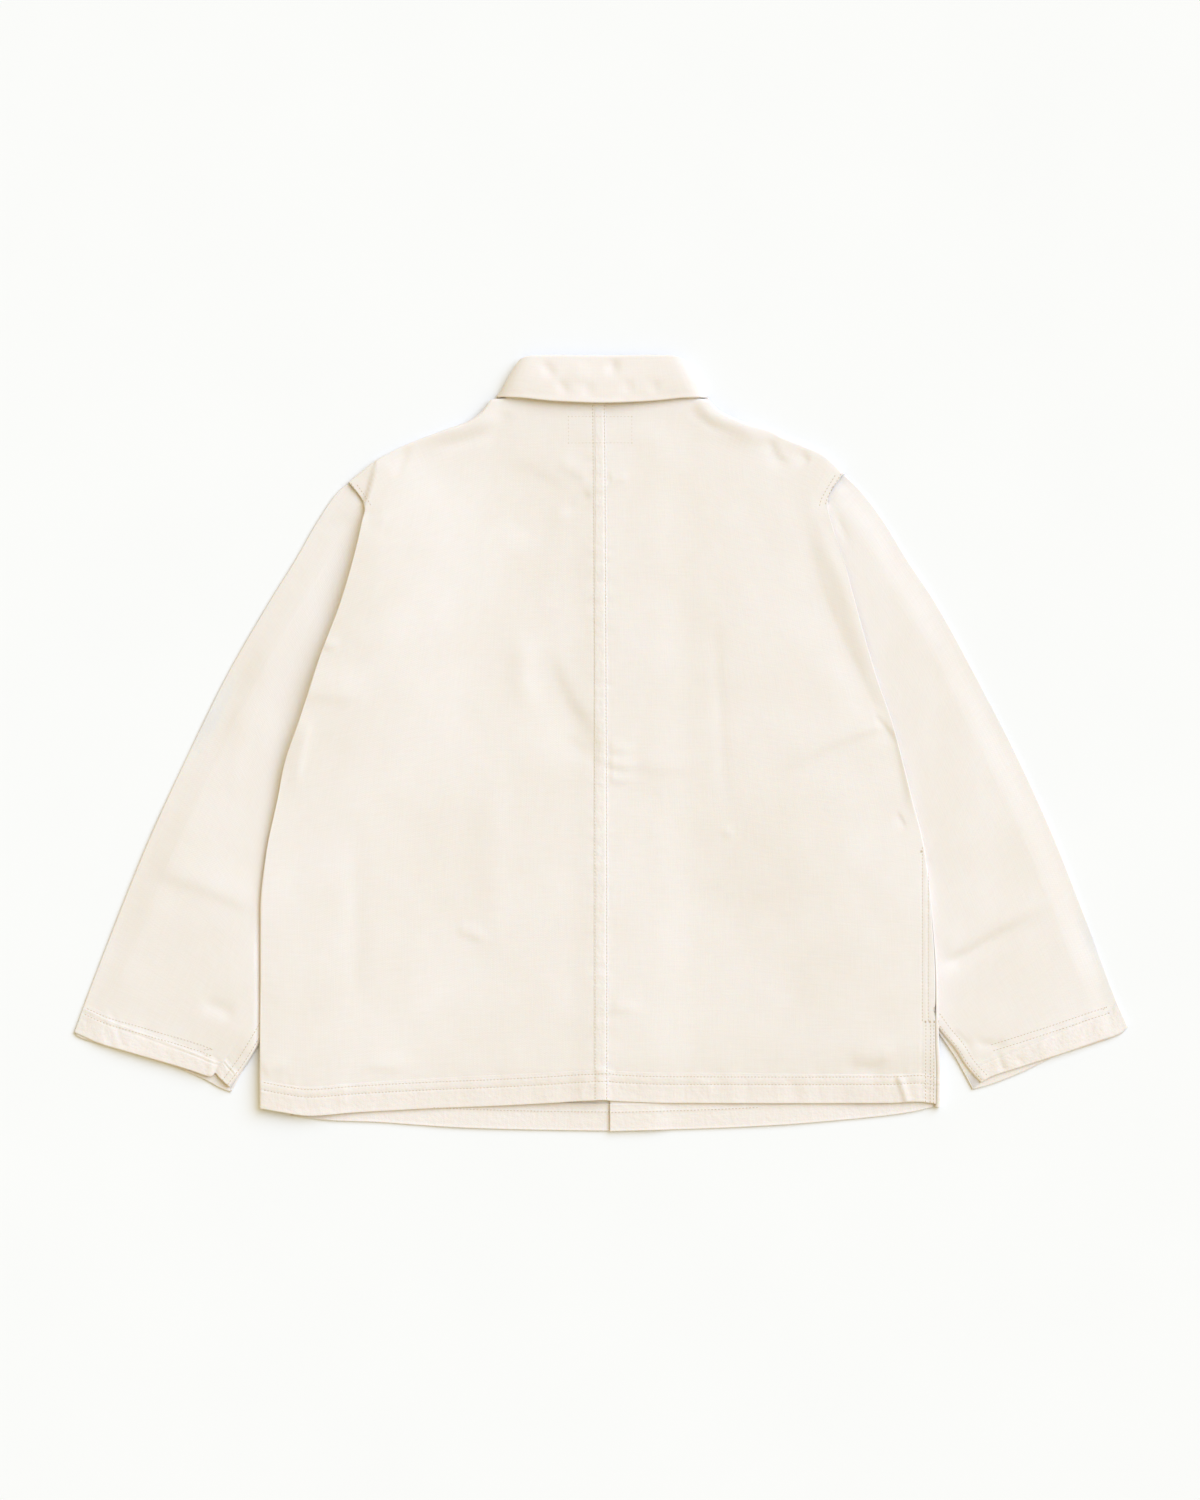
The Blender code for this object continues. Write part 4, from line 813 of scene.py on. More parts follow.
def front_panel(side, wall, step):
    """One front. The right one runs on round the side fold to the seam; the left one ends below it."""
    rows = SIDES[side]
    edge = -LEFT_FRONT_EDGE if side == LEFT else RIGHT_FRONT_EDGE
    edge_y = np.linspace(rows[0].y, rows[-1].y, 90)
    foot = column(rows, "foot", edge_y) - SEAM
    hem = FRONT_HEM[side]
    corner = Point(foot[0], FRONT_CORNER_Y[side])
    neck = [clear_of_neck(point) for point in neck_points(side, COLLAR[6:])[::-1]]
    top = [Point(edge, neck[0].y)] + neck
    top += [Point(COLLAR[3].neck_out + NECK_CORNER, COLLAR[3].neck_y - SEAM)] + SHOULDER[side]
    top.append(tip(side))
    outline = np.stack([foot, edge_y], axis=-1)
    outline[0] = corner
    outline = [p for p in outline if p[1] > corner.y + 8 or tuple(p) == tuple(corner)]
    outline[-1] = np.array(tip(side), float)
    bottom = [Point(edge, FRONT_EDGE_FOOT_Y)] + hem + [corner]
    inner = [Point(edge, FRONT_EDGE_FOOT_Y), Point(edge, top[0].y)]
    outer = line(outline)
    lengths = gaps(top)
    length = lengths.sum()
    neck_share = lengths[: len(neck) + 1].sum() / length
    across = spread(0.0, (3.0, 1.0), (length, step)) / length
    up, rolls = rows_up(outer, step, HEM_RUNS)
    u, v = np.meshgrid(across, up)
    plan = patch(line(bottom), line(top), line(inner), outer, u, v)
    x, y = side * plan[..., 0], plan[..., 1]
    z = front_height(side, plan[..., 0], y)
    distance = hem_distance(bottom, plan[..., 0], y)
    z = z + 0.35 * groove(distance, 1.6) + front_relief(side, x, y, distance)
    floor = np.concatenate([plan, z[..., None]], axis=-1)
    other = back_height(side, plan[..., 0], y, wall)
    floor = shoulder_roll(floor, neck_share, u, rolls[:, None], other)
    grid = floor
    if side == RIGHT:
        row_y = np.maximum(outer(up)[:, 1], rows[0].y)
        ways = fold_ways(rows, row_y)
        reach = np.broadcast_to(np.array([-14.0, -12.5, -11.0, -9.5, -8.0, -6.5]), (len(up), 6))
        ways = np.concatenate([reach, ways], axis=1)
        ways = np.maximum(ways, seam_way(side, row_y, 1)[:, None])
        ways = np.sort(ways, axis=1)
        out, z = round_fold(rows, row_y[:, None], ways)
        high = np.broadcast_to(outer(up)[:, 1][:, None], out.shape)
        z = z + fold_relief(rows, side, out, high, ways, high - rows[0].y)
        flap = np.stack([out, high, z], axis=-1)[:, ::-1]
        above = row_y > ARMPIT_Y
        flap[above] = floor[above][:, -1:]
        grid = np.concatenate([floor, flap[:, 1:]], axis=1)
    heights = up * outer.length
    return cut_out(grid, side, len(grid) // 3, heights, wall, heights < HEM_DEPTH, CUFF_PLY)


def front_relief(side, x, y, distance):
    """Small unevenness of a front's outer face, which lies on the floor and so only rises."""
    rise = 0.25 + 0.25 * np.sin(x / 23.0 + 0.7) * np.sin(y / 31.0)
    for row in HEM_ROWS:
        rise = rise + 0.3 * groove(distance - row)
    return np.clip(rise, 0.0, None)


def inner_fold(side, root_end, table, end):
    """The sleeve's inner edge, hidden by the body down to where it comes out."""
    hidden_y = np.linspace(ARMPIT_Y, -240.0, 7)[1:]
    hidden = np.stack([column(SIDES[side], "sleeve", hidden_y), hidden_y], axis=-1)
    return [tuple(root_end)] + [tuple(point) for point in hidden] + table + [end]


def sleeve_rings(side, wall, step):
    """Rings of the flat sleeve from the armhole to the cuff, each starting on its upper layer."""
    rows = SIDES[side]
    root_y = np.linspace(rows[-1].y, ARMPIT_Y + ARMPIT_EASE, 60)
    foot = column(rows, "foot", root_y)
    tuck = ARMHOLE_TUCK * ease((root_y - 220.0) / 6.0) * (1 - 0.7 * ease((root_y - rows[-1].y + 7.0) / 7.0))
    low_root = np.stack([foot + ARMHOLE_GAP, root_y], axis=-1)
    top_root = np.stack([foot + ARMHOLE_GAP - tuck, root_y], axis=-1)
    length = SLEEVE_LENGTH
    along = spread(0.0, (length - 36.0, step), (length - 30.0, 1.6), (length - 14.0, 0.8), (length, 1.4))
    along = along / length
    outer = SLEEVE_OUTER[side] + [CUFF[side][0]]
    upper = (
        line(top_root),
        line(CUFF[side]),
        line([tuple(top_root[0])] + outer),
        line(inner_fold(side, top_root[-1], INNER_UPPER[side], CUFF[side][-1])),
    )
    lower = (
        line(low_root),
        line(CUFF_UNDER[side]),
        line([tuple(low_root[0])] + outer),
        line(inner_fold(side, low_root[-1], INNER_LOWER[side], CUFF_UNDER[side][-1])),
    )
    widths = np.linalg.norm(upper[2](along) - upper[3](along), axis=1)
    out_radius = np.full_like(widths, SLEEVE_EDGE / 2)
    full = SLEEVE_HEIGHT - CUFF_FALL * ease((along - CUFF_FALL_FROM) / 0.1)
    in_radius = full / 2
    between = widths - out_radius - in_radius
    shares, heights, depths = [], [], []
    for angle in map(math.radians, QUADRANT):
        shares.append(out_radius * (1 - math.cos(angle)) / widths)
        heights.append(out_radius * (1 + math.sin(angle)))
        depths.append(out_radius * (1 - math.sin(angle)))
    for share in np.linspace(0, 1, 64)[1:-1]:
        flat = full + (2 * out_radius - full) * (1 - ease(share * between / SLEEVE_SLOPE))
        shares.append((out_radius + share * between) / widths)
        heights.append(flat)
        depths.append(np.zeros_like(widths))
    for angle in map(math.radians, QUADRANT[::-1]):
        shares.append(1 - in_radius * (1 - math.cos(angle)) / widths)
        heights.append(in_radius * (1 + math.sin(angle)))
        depths.append(in_radius * (1 - math.sin(angle)))
    shares, heights, depths = (np.stack(part, axis=-1) for part in (shares, heights, depths))
    v = np.broadcast_to(along[:, None], shares.shape)
    plan_top = patch(*upper, shares, v)
    from_cuff = (1 - v) * length
    from_inner = (1 - shares) * widths[:, None]
    z_top = heights + sleeve_relief(side, plan_top[..., 0], plan_top[..., 1], from_cuff, from_inner)
    fade = np.clip(np.minimum(heights - out_radius[:, None], 1.6) / 1.6, 0, 1)
    z_top = heights + (z_top - heights) * fade
    tucked = 1 - ease((length - from_cuff) / 9.0)
    z_top = z_top - 0.2 * tucked * fade * ease((plan_top[..., 1] - 220.0) / 6.0)
    back = slice(None, 0, -1)
    plan_low = patch(*lower, shares[:, back], v[:, back])
    z_low = depths[:, back]
    bumps = np.sin(plan_low[..., 0] / 19.0) * np.sin(plan_low[..., 1] / 27.0)
    z_low = z_low + 0.3 * (1 + bumps) * (z_low < 0.2)
    # where the lower layer reaches past the upper one, a strip of it shows beside the fold
    strip = np.array([0.1, 0.3, 0.5, 0.7, 0.9])[:, None]
    plan_strip = plan_top[:, -1:] * (1 - strip) + plan_low[:, :1] * strip
    z_strip = np.broadcast_to(in_radius[:, None], plan_strip.shape[:2])
    plan = np.concatenate([plan_top, plan_strip, plan_low], axis=1)
    high = np.concatenate([z_top, z_strip, z_low], axis=1)
    grid = np.concatenate([plan, high[..., None]], axis=-1)
    cuff = along * length > length - CUFF_DEPTH
    return cut_out(grid, side, len(grid) // 2, -along * length, wall, cuff, CUFF_PLY)


def sleeve_relief(side, out, y, from_cuff, from_inner):
    """Crown, creases and sewing of a sleeve's upper layer, gone where the body lies on it."""
    rows = SIDES[side]
    x = side * out
    fold = column(rows, "fold", y)
    outer = column(SLEEVE_OUTER[side][::-1], "out", y)
    shown = np.clip((out - fold) / np.clip(outer - fold, 20.0, None), 0.0, 1.0)
    crown = SLEEVE_CROWN[side] * np.clip((outer - fold) / 140.0, 0.0, 1.0) ** 1.6
    rise = crown * np.sin(math.pi * shown**0.62)
    if side == LEFT:
        dip = SLEEVE_DIP * ease((y + 200.0) / 130.0) * (1 - ease((y - 206.0) / 16.0))
        dip = dip - SLEEVE_CLIMB * (1 - ease((y + 120.0) / 80.0))
        rise = rise - dip * np.exp(-(np.clip(out - fold, 0, None) / DIP_REACH))
    rise = rise + creases(SLEEVE_CREASES[side], x, y) + 0.8 * waves(x + 90.0, y - 60.0)
    rows_up = CUFF_ROWS[side]
    rise = rise + 0.45 * (1 - ease((from_cuff - rows_up[1]) / 2.5)) - 0.2 * groove(from_cuff, 0.8)
    for row in rows_up:
        rise = rise - 0.3 * groove(from_cuff - row, 1.2)
    near = band(from_cuff - 15.0, 12.0, 5.0)
    rise = rise + 0.42 * pucker(x, from_cuff, 10.0, 36.0, 11 + side) * near
    felled = ease((-250.0 - y) / 10.0)
    for row in FELL_ROWS:
        rise = rise - 0.25 * groove(from_inner - row, 1.2) * felled
    rise = rise + 0.4 * groove(from_inner - 6.0, 4.0) * felled
    rise = rise + 0.3 * pucker(y, x, 8.0, 22.0, 15) * groove(from_inner - 6.0, 6.0) * felled
    visible = np.maximum(ease((out - fold + 2.0) / 7.0), ease((y - 222.0) / 6.0))
    return np.maximum(rise, -2.4) * visible


def collar_sections():
    """Sections of the collar from the right front end round the back to the left front end."""
    mirrored = [(RIGHT, row) for row in COLLAR[:0:-1]] + [(LEFT, row) for row in COLLAR]
    places = np.arange(len(mirrored))
    middle = (len(mirrored) - 1) / 2
    steps = np.linspace(0, len(mirrored) - 1, 10 * (len(mirrored) - 1) + 1)

    def track(value):
        return smooth(places, [value(side, row) for side, row in mirrored], steps)

    def spot(name):
        x = track(lambda side, row: side * getattr(row, name + "_out") + row.shift * CENTRE_FRONT)
        return np.stack([x, track(lambda side, row: getattr(row, name + "_y"))], axis=-1)

    neck, fold, leaf = spot("neck"), spot("fold"), spot("leaf")
    turn = np.radians(track(lambda side, row: row.turn))
    swell = track(lambda side, row: row.swell) * ease((130 - np.degrees(turn)) / 60)
    lift = track(lambda side, row: row.stand_lift * (side == RIGHT))
    sheets, flats = [], []
    round_neck = 0.0
    for i in range(len(steps)):
        down = leaf[i] - fold[i]
        hand = RIGHT if steps[i] < middle else LEFT
        across = np.array([-down[1], down[0]]) / np.linalg.norm(down) * hand
        face = np.array([*(across * math.sin(turn[i])), math.cos(turn[i])])
        rise = (fold[i] - neck[i]) / np.linalg.norm(fold[i] - neck[i])
        depth = 2 * COLLAR_PLY + COLLAR_GAP + lift[i]
        start = STAND_RING - lift[i]
        radius = depth / 2
        plans, offsets, ways = [], [], []
        stand = np.linalg.norm(fold[i] - neck[i])
        fall = np.linalg.norm(fold[i] - leaf[i])
        for share in np.linspace(0, 1, 9):
            plans.append(neck[i] + (fold[i] - rise * radius - neck[i]) * share)
            offsets.append(start)
            ways.append(stand * share)
        for angle in range(-75, 76, 15):
            plans.append(fold[i] - rise * radius + rise * radius * math.cos(math.radians(angle)))
            offsets.append(start + radius + radius * math.sin(math.radians(angle)))
            ways.append(stand + radius * math.radians(angle + 75))
        for share in np.concatenate([np.linspace(0, 0.94, 15), [0.97, 1.0]]):
            plan = fold[i] - rise * radius + (leaf[i] - fold[i] + rise * radius) * share
            plans.append(plan)
            from_edge = (1 - share) * fall
            edge = 0.15 * groove(from_edge, 0.8)
            row = 0.3 * groove(from_edge - 5.5)
            ripple = 0.25 * float(pucker(round_neck, fall * share, 9.0, 28.0, 19))
            ripple *= math.exp(-(((from_edge - 3) / 8) ** 2))
            dent = float(creases(COLLAR_CREASES, plan[0], plan[1])) if turn[i] < 1.0 else 0.0
            bulge = swell[i] * math.sin(math.pi * share) + dent * min(1.0, 6 * share)
            stands_off = LEAF_LIFT * groove(plan[0] - LEAF_LIFT_X, LEAF_LIFT_WIDTH)
            bulge += stands_off * math.cos(turn[i] / 2) ** 2 * share**3
            offsets.append(start + depth + bulge - (edge + row - ripple) * (turn[i] < 2.6))
            ways.append(stand + radius * 2.6 + fall * share)
        sheet = [np.array([*plan, COLLAR_MIDDLE_Z]) + face * off for plan, off in zip(plans, offsets)]
        if i:
            round_neck += np.linalg.norm(np.array(sheet[12])[:2] - sheets[-1][12][:2])
        sheets.append(np.array(sheet))
        flats.append(np.array([(round_neck, way) for way in ways]))
    grid = np.array(sheets)
    return grid, np.array(flats), np.full(grid.shape[:2], 1.4)


def bag_panel(side, wall):
    """A pocket bag: one piece folded at its inner edge, its open edges at the side seam."""
    rows = SIDES[side]
    y = np.linspace(BAG_BOTTOM, BAG_TOP, 32)
    if side == LEFT:
        mouth = column(rows, "foot", y) - 2.0
    else:
        mouth = column(rows, "fold", y) - 5.5
    mouth = mouth - BAG_SHOULDER * ease((SLIT_BOTTOM - y) / 30.0)
    height = 2 * BAG_PLY + BAG_GAP
    inner = column(rows, "foot", y) - BAG_WIDTH
    shares = np.linspace(0, 1, 26)
    out = mouth[:, None] + (inner - mouth)[:, None] * shares
    wide_y = np.broadcast_to(y[:, None], out.shape)
    base = front_height(side, out, wide_y) + 1.4 + SEAM
    if side == RIGHT:
        way = column(rows, "fold", y)[:, None] - out
        flap = round_fold(rows, wide_y, np.clip(way - BAG_CLEAR, 3.2, None))[1] + 1.4 + SEAM
        base = np.maximum(base, flap)
    lower = np.stack([out, wide_y, base], axis=-1)
    radius = height / 2
    bend = []
    for angle in (-60, -30, 0, 30, 60):
        past = out[:, -1] - radius * math.cos(math.radians(angle))
        z = base[:, -1] + radius + radius * math.sin(math.radians(angle))
        bend.append(np.stack([past, y, z], axis=-1))
    upper = lower[:, ::-1] + np.array([0, 0, height])
    grid = np.concatenate([lower, np.stack(bend, axis=1), upper], axis=1)
    grid[..., 0] *= side
    flat = grid[..., :2].copy()
    return grid, flat, np.full(grid.shape[:2], wall)


# ---------------------------------------------------------------- materials


def srgb(code):
    """Linear colour of an sRGB hex value."""
    parts = [int(code[i : i + 2], 16) / 255 for i in (0, 2, 4)]
    return tuple(p / 12.92 if p <= 0.04045 else ((p + 0.055) / 1.055) ** 2.4 for p in parts)


def node(tree, kind, inputs=None, links=None, **settings):
    """Adds a node with its settings, its inputs' values and its links from other nodes' outputs."""
    made = tree.nodes.new(kind)
    for name, value in settings.items():
        setattr(made, name, value)
    for name, value in (inputs or {}).items():
        made.inputs[name].default_value = value
    for name, source in (links or {}).items():
        tree.links.new(source, made.inputs[name])
    return made


def new_material(name, values):
    """A material with these values on its shader's sockets."""
    material = bpy.data.materials.new(name)
    material.use_nodes = True
    tree = material.node_tree
    shader = tree.nodes["Principled BSDF"]
    for socket, value in values.items():
        shader.inputs[socket].default_value = value
    return material, tree, shader


def tinted(tree, shader, share, colour, dark, light):
    """Colours a material from a darker to a lighter tone of its colour, by a share from 0 to 1."""
    ramp = node(tree, "ShaderNodeValToRGB", links={0: share})
    for stop, tone in zip(ramp.color_ramp.elements, (dark, light)):
        parts = np.broadcast_to(tone, 3)
        stop.color = (*[min(c * part, 0.99) for c, part in zip(colour, parts)], 1.0)
    tree.links.new(ramp.outputs["Color"], shader.inputs["Base Color"])


def twill_material(name, colour, coarse, weave_depth):
    """Undyed cotton twill, washed once: a matte face with a fine diagonal, slubs along both threads and a
    short nap that catches light at the edges. The real diagonal is under 1 mm, too fine to show from where
    the camera stands, so it is drawn at `coarse` times that."""
    material, tree, shader = new_material(
        name,
        {
            "Roughness": 0.92,
            "Specular IOR Level": 0.18,
            "Sheen Weight": 0.12,
            "Sheen Roughness": 0.5,
            "Subsurface Weight": 0.22,
            "Subsurface Radius": (1.0, 0.62, 0.36),
            "Subsurface Scale": 1.6 * MM,
        },
    )
    metres = node(tree, "ShaderNodeUVMap", uv_map="cut").outputs["UV"]
    slubs = []
    for scale in ((42.0, 1100.0 / coarse, 1.0), (1300.0 / coarse, 36.0, 1.0)):
        thread = node(tree, "ShaderNodeMapping", {"Scale": scale}, {"Vector": metres})
        uneven = {"Scale": 1.0, "Detail": 3.0, "Roughness": 0.6}
        slub = node(tree, "ShaderNodeTexNoise", uneven, {"Vector": thread.outputs[0]})
        slubs.append(slub.outputs["Fac"])
    slubs = node(tree, "ShaderNodeMath", links=dict(enumerate(slubs)), operation="ADD")
    turned = node(
        tree, "ShaderNodeMapping", {"Rotation": (0.0, 0.0, math.radians(62))}, {"Vector": metres}
    )
    rib = node(
        tree,
        "ShaderNodeTexWave",
        {"Scale": 349.0 / coarse, "Distortion": 1.6, "Detail": 2.0, "Detail Scale": 1.5},
        {"Vector": turned.outputs[0]},
        wave_type="BANDS",
        bands_direction="X",
    )
    ribs = node(tree, "ShaderNodeMath", {1: 0.35}, {0: rib.outputs["Fac"]}, operation="MULTIPLY")
    relief = node(tree, "ShaderNodeMath", links={0: slubs.outputs[0], 1: ribs.outputs[0]}, operation="ADD")
    sewn = node(tree, "ShaderNodeAttribute", attribute_name="sewn")
    crumple = node(tree, "ShaderNodeTexNoise", {"Scale": 210.0, "Detail": 2.0}, {"Vector": metres})
    drawn = node(
        tree,
        "ShaderNodeMath",
        links={0: crumple.outputs["Fac"], 1: sewn.outputs["Fac"]},
        operation="MULTIPLY",
    )
    relief = node(
        tree,
        "ShaderNodeMath",
        {1: CRUMPLE / weave_depth},
        {0: drawn.outputs[0], 2: relief.outputs[0]},
        operation="MULTIPLY_ADD",
    )
    bump = node(
        tree,
        "ShaderNodeBump",
        {"Strength": 0.6, "Distance": weave_depth * MM},
        {"Height": relief.outputs[0]},
    )
    tree.links.new(bump.outputs["Normal"], shader.inputs["Normal"])
    uneven = {"Scale": 7.0, "Detail": 4.0, "Roughness": 0.55}
    cloud = node(tree, "ShaderNodeTexNoise", uneven, {"Vector": metres})
    tone = node(
        tree,
        "ShaderNodeMath",
        {1: 0.5},
        {0: slubs.outputs[0], 2: cloud.outputs["Fac"]},
        operation="MULTIPLY_ADD",
    )
    shade = node(tree, "ShaderNodeMapRange", {1: 0.7, 2: 1.3, 3: 0.0, 4: 1.0}, {0: tone.outputs[0]})
    tinted(tree, shader, shade.outputs[0], colour, (0.965, 0.952, 0.92), (1.025, 1.025, 1.045))
    return material


def thread_material(name, colour):
    """Spun cotton sewing thread, twisted, a little smoother than the cloth. Its colour, set darker than the
    cloth, is partly painted shade: the shade of the needle holes along each row.
    """
    material, tree, shader = new_material(name, {"Roughness": 0.75, "Sheen Weight": 0.1})
    place = node(tree, "ShaderNodeTexCoord").outputs["Object"]
    twist = node(tree, "ShaderNodeTexNoise", {"Scale": 900.0, "Detail": 1.0}, {"Vector": place})
    tinted(tree, shader, twist.outputs["Fac"], colour, 0.9, 1.04)
    return material


def resin_material(name, colour):
    """Cast polyester button resin, polished: soft gloss over faint horn-like clouds."""
    material, tree, shader = new_material(name, {"Roughness": 0.32, "IOR": 1.56})
    place = node(tree, "ShaderNodeTexCoord").outputs["Object"]
    uneven = {"Scale": 140.0, "Detail": 5.0, "Distortion": 1.6}
    cloud = node(tree, "ShaderNodeTexNoise", uneven, {"Vector": place})
    tinted(tree, shader, cloud.outputs["Fac"], colour, 0.78, 1.12)
    bump = node(
        tree, "ShaderNodeBump", {"Strength": 0.2, "Distance": 0.05 * MM}, {"Height": cloud.outputs["Fac"]}
    )
    tree.links.new(bump.outputs["Normal"], shader.inputs["Normal"])
    return material


def floor_material(name, colour):
    """Matte painted board: barely uneven, no gloss."""
    material, tree, shader = new_material(name, {"Roughness": 0.95, "Specular IOR Level": 0.1})
    place = node(tree, "ShaderNodeTexCoord").outputs["Object"]
    cloud = node(tree, "ShaderNodeTexNoise", {"Scale": 6.0, "Detail": 4.0}, {"Vector": place})
    tinted(tree, shader, cloud.outputs["Fac"], colour, 0.985, 1.01)
    return material


# ---------------------------------------------------------------- cloth pieces


def sheet_object(name, grid, flat, thick, first_face_up, material, ring=False, lap=0.0):
    """A closed thin shell on a grid of points: the outer face, with a wall that grows inwards. Its hems and
    all that lies within `lap` of its inner edge are marked as sewn."""
    high, wide = grid.shape[:2]
    index = np.arange(high * wide).reshape(high, wide)
    if ring:
        index = np.concatenate([index, index[:, :1]], axis=1)
    a, b, c, d = index[:-1, :-1], index[:-1, 1:], index[1:, 1:], index[1:, :-1]
    faces = np.stack([a, b, c, d], axis=-1).reshape(-1, 4)
    points = grid.reshape(-1, 3) * MM
    corners = points[faces[0]]
    up = np.cross(corners[1] - corners[0], corners[2] - corners[0])[2] > 0
    if up != first_face_up:
        faces = faces[:, ::-1]
    mesh = bpy.data.meshes.new(name)
    mesh.from_pydata(points.tolist(), [], faces.tolist())
    cut = mesh.uv_layers.new(name="cut")
    coordinates = (flat.reshape(-1, 2) * MM)[faces.reshape(-1)]
    if ring:
        coordinates = coordinates.reshape(-1, 4, 2)
        half = coordinates[..., 0].max() / 2
        crossing = np.ptp(coordinates[..., 0], axis=1) > half
        coordinates[..., 0] += 2 * half * (crossing[:, None] & (coordinates[..., 0] < half))
    cut.data.foreach_set("uv", coordinates.astype(np.float32).ravel())
    sewn = np.maximum(np.clip((thick - thick.min()) / 0.4, 0, 1), flat[..., 0] < lap)
    marks = mesh.attributes.new("sewn", "FLOAT", "POINT")
    marks.data.foreach_set("value", sewn.astype(np.float32).ravel())
    piece = bpy.data.objects.new(name, mesh)
    bpy.context.scene.collection.objects.link(piece)
    group = piece.vertex_groups.new(name="wall")
    thickest = float(thick.max())
    weights = (thick / thickest).ravel()
    for weight in np.unique(np.round(weights, 3)):
        members = np.nonzero(np.abs(weights - weight) < 0.0006)[0]
        group.add(members.tolist(), float(weight), "REPLACE")
    shape = bmesh.new()
    shape.from_mesh(mesh)
    bmesh.ops.remove_doubles(shape, verts=shape.verts, dist=0.02 * MM)
    bmesh.ops.dissolve_degenerate(shape, edges=shape.edges, dist=0.01 * MM)
    shape.to_mesh(mesh)
    shape.free()
    mesh.shade_smooth()
    mesh.materials.append(material)
    wall = piece.modifiers.new("Wall", "SOLIDIFY")
    wall.thickness = thickest * MM
    wall.offset = -1.0
    wall.vertex_group = group.name
    wall.use_even_offset = False
    return applied(piece)


def applied(piece):
    """The piece with its modifiers made real."""
    bpy.context.view_layer.update()
    graph = bpy.context.evaluated_depsgraph_get()
    final = bpy.data.meshes.new_from_object(piece.evaluated_get(graph))
    piece.modifiers.clear()
    piece.data = final
    final.name = piece.name
    return piece


def dress(piece, node_name):
    """Rides the piece on the garment and hides the solid it stands for."""
    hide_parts(node_name)
    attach(piece, "root")


# ---------------------------------------------------------------- sewing


def stitch_tree():
    """Stitches along every edge of a mesh: resampled to the pitch, one short thread on each point."""
    tree = bpy.data.node_groups.new("Stitches", "GeometryNodeTree")
    face = tree.interface
    face.new_socket("Geometry", in_out="INPUT", socket_type="NodeSocketGeometry")
    for name, value in (("Pitch", 3.2 * MM), ("Length", 2.5 * MM), ("Width", 0.55 * MM)):
        socket = face.new_socket(name, in_out="INPUT", socket_type="NodeSocketFloat")
        socket.default_value = value
    face.new_socket("Thread", in_out="INPUT", socket_type="NodeSocketMaterial")
    face.new_socket("Geometry", in_out="OUTPUT", socket_type="NodeSocketGeometry")
    source = node(tree, "NodeGroupInput")
    curve = node(tree, "GeometryNodeMeshToCurve", links={0: source.outputs["Geometry"]})
    upright = node(tree, "GeometryNodeSetCurveNormal", links={0: curve.outputs[0]}, mode="Z_UP")
    points = node(
        tree,
        "GeometryNodeCurveToPoints",
        links={"Curve": upright.outputs[0], "Length": source.outputs["Pitch"]},
        mode="LENGTH",
    )
    bead = node(tree, "GeometryNodeMeshUVSphere", {"Segments": 6, "Rings": 4, "Radius": 0.5})
    size = node(
        tree,
        "ShaderNodeCombineXYZ",
        links={0: source.outputs["Width"], 1: source.outputs["Width"], 2: source.outputs["Length"]},
    )
    thread = node(
        tree, "GeometryNodeTransform", links={"Geometry": bead.outputs[0], "Scale": size.outputs[0]}
    )
    copies = node(
        tree,
        "GeometryNodeInstanceOnPoints",
        links={
            "Points": points.outputs["Points"],
            "Instance": thread.outputs[0],
            "Rotation": points.outputs["Rotation"],
        },
    )
    real = node(tree, "GeometryNodeRealizeInstances", links={0: copies.outputs[0]})
    smooth_faces = node(tree, "GeometryNodeSetShadeSmooth", links={0: real.outputs[0]})
    finish = node(
        tree,
        "GeometryNodeSetMaterial",
        links={"Geometry": smooth_faces.outputs[0], "Material": source.outputs["Thread"]},
    )
    node(tree, "NodeGroupOutput", links={0: finish.outputs[0]})
    return tree


def drop(run, trees, below, sink):
    """A run set on the highest cloth under it, or on the lowest cloth over it."""
    set_down = []
    for x, y in run:
        best = None
        for tree in trees:
            start = Vector((x * MM, y * MM, -0.05 if below else 0.1))
            hit = tree.ray_cast(start, Vector((0, 0, 1 if below else -1)))[0]
            if hit is None:
                continue
            if best is None or (hit.z < best if below else hit.z > best):
                best = hit.z
        if best is not None:
            set_down.append((x * MM, y * MM, best + (sink if below else -sink)))
    return set_down


def resample(run, gap):
    """A run with its points about a gap apart."""
    run = np.array(run, float)
    places = travelled(gaps(run))
    at = np.linspace(0, places[-1], max(2, int(round(places[-1] / gap)) + 1))
    between = np.interp if len(run) == 2 else lambda at, places, values: smooth(places, values, at)
    return np.stack([between(at, places, run[:, i]) for i in range(2)], axis=-1)


def shifted(run, distance):
    """A run moved sideways, to its left where distance is positive."""
    step = np.gradient(run, axis=0)
    step /= np.linalg.norm(step, axis=1)[:, None]
    return run + np.stack([-step[:, 1], step[:, 0]], axis=-1) * distance


def hem_run(side, edge, height, inset):
    """A run along a hem, at a height above its edge and short of its ends."""
    outs = np.linspace(edge[0].out + inset, edge[-1].out - inset, 80)
    return np.stack([side * outs, height - hem_distance(edge, outs, 0.0)], axis=-1)


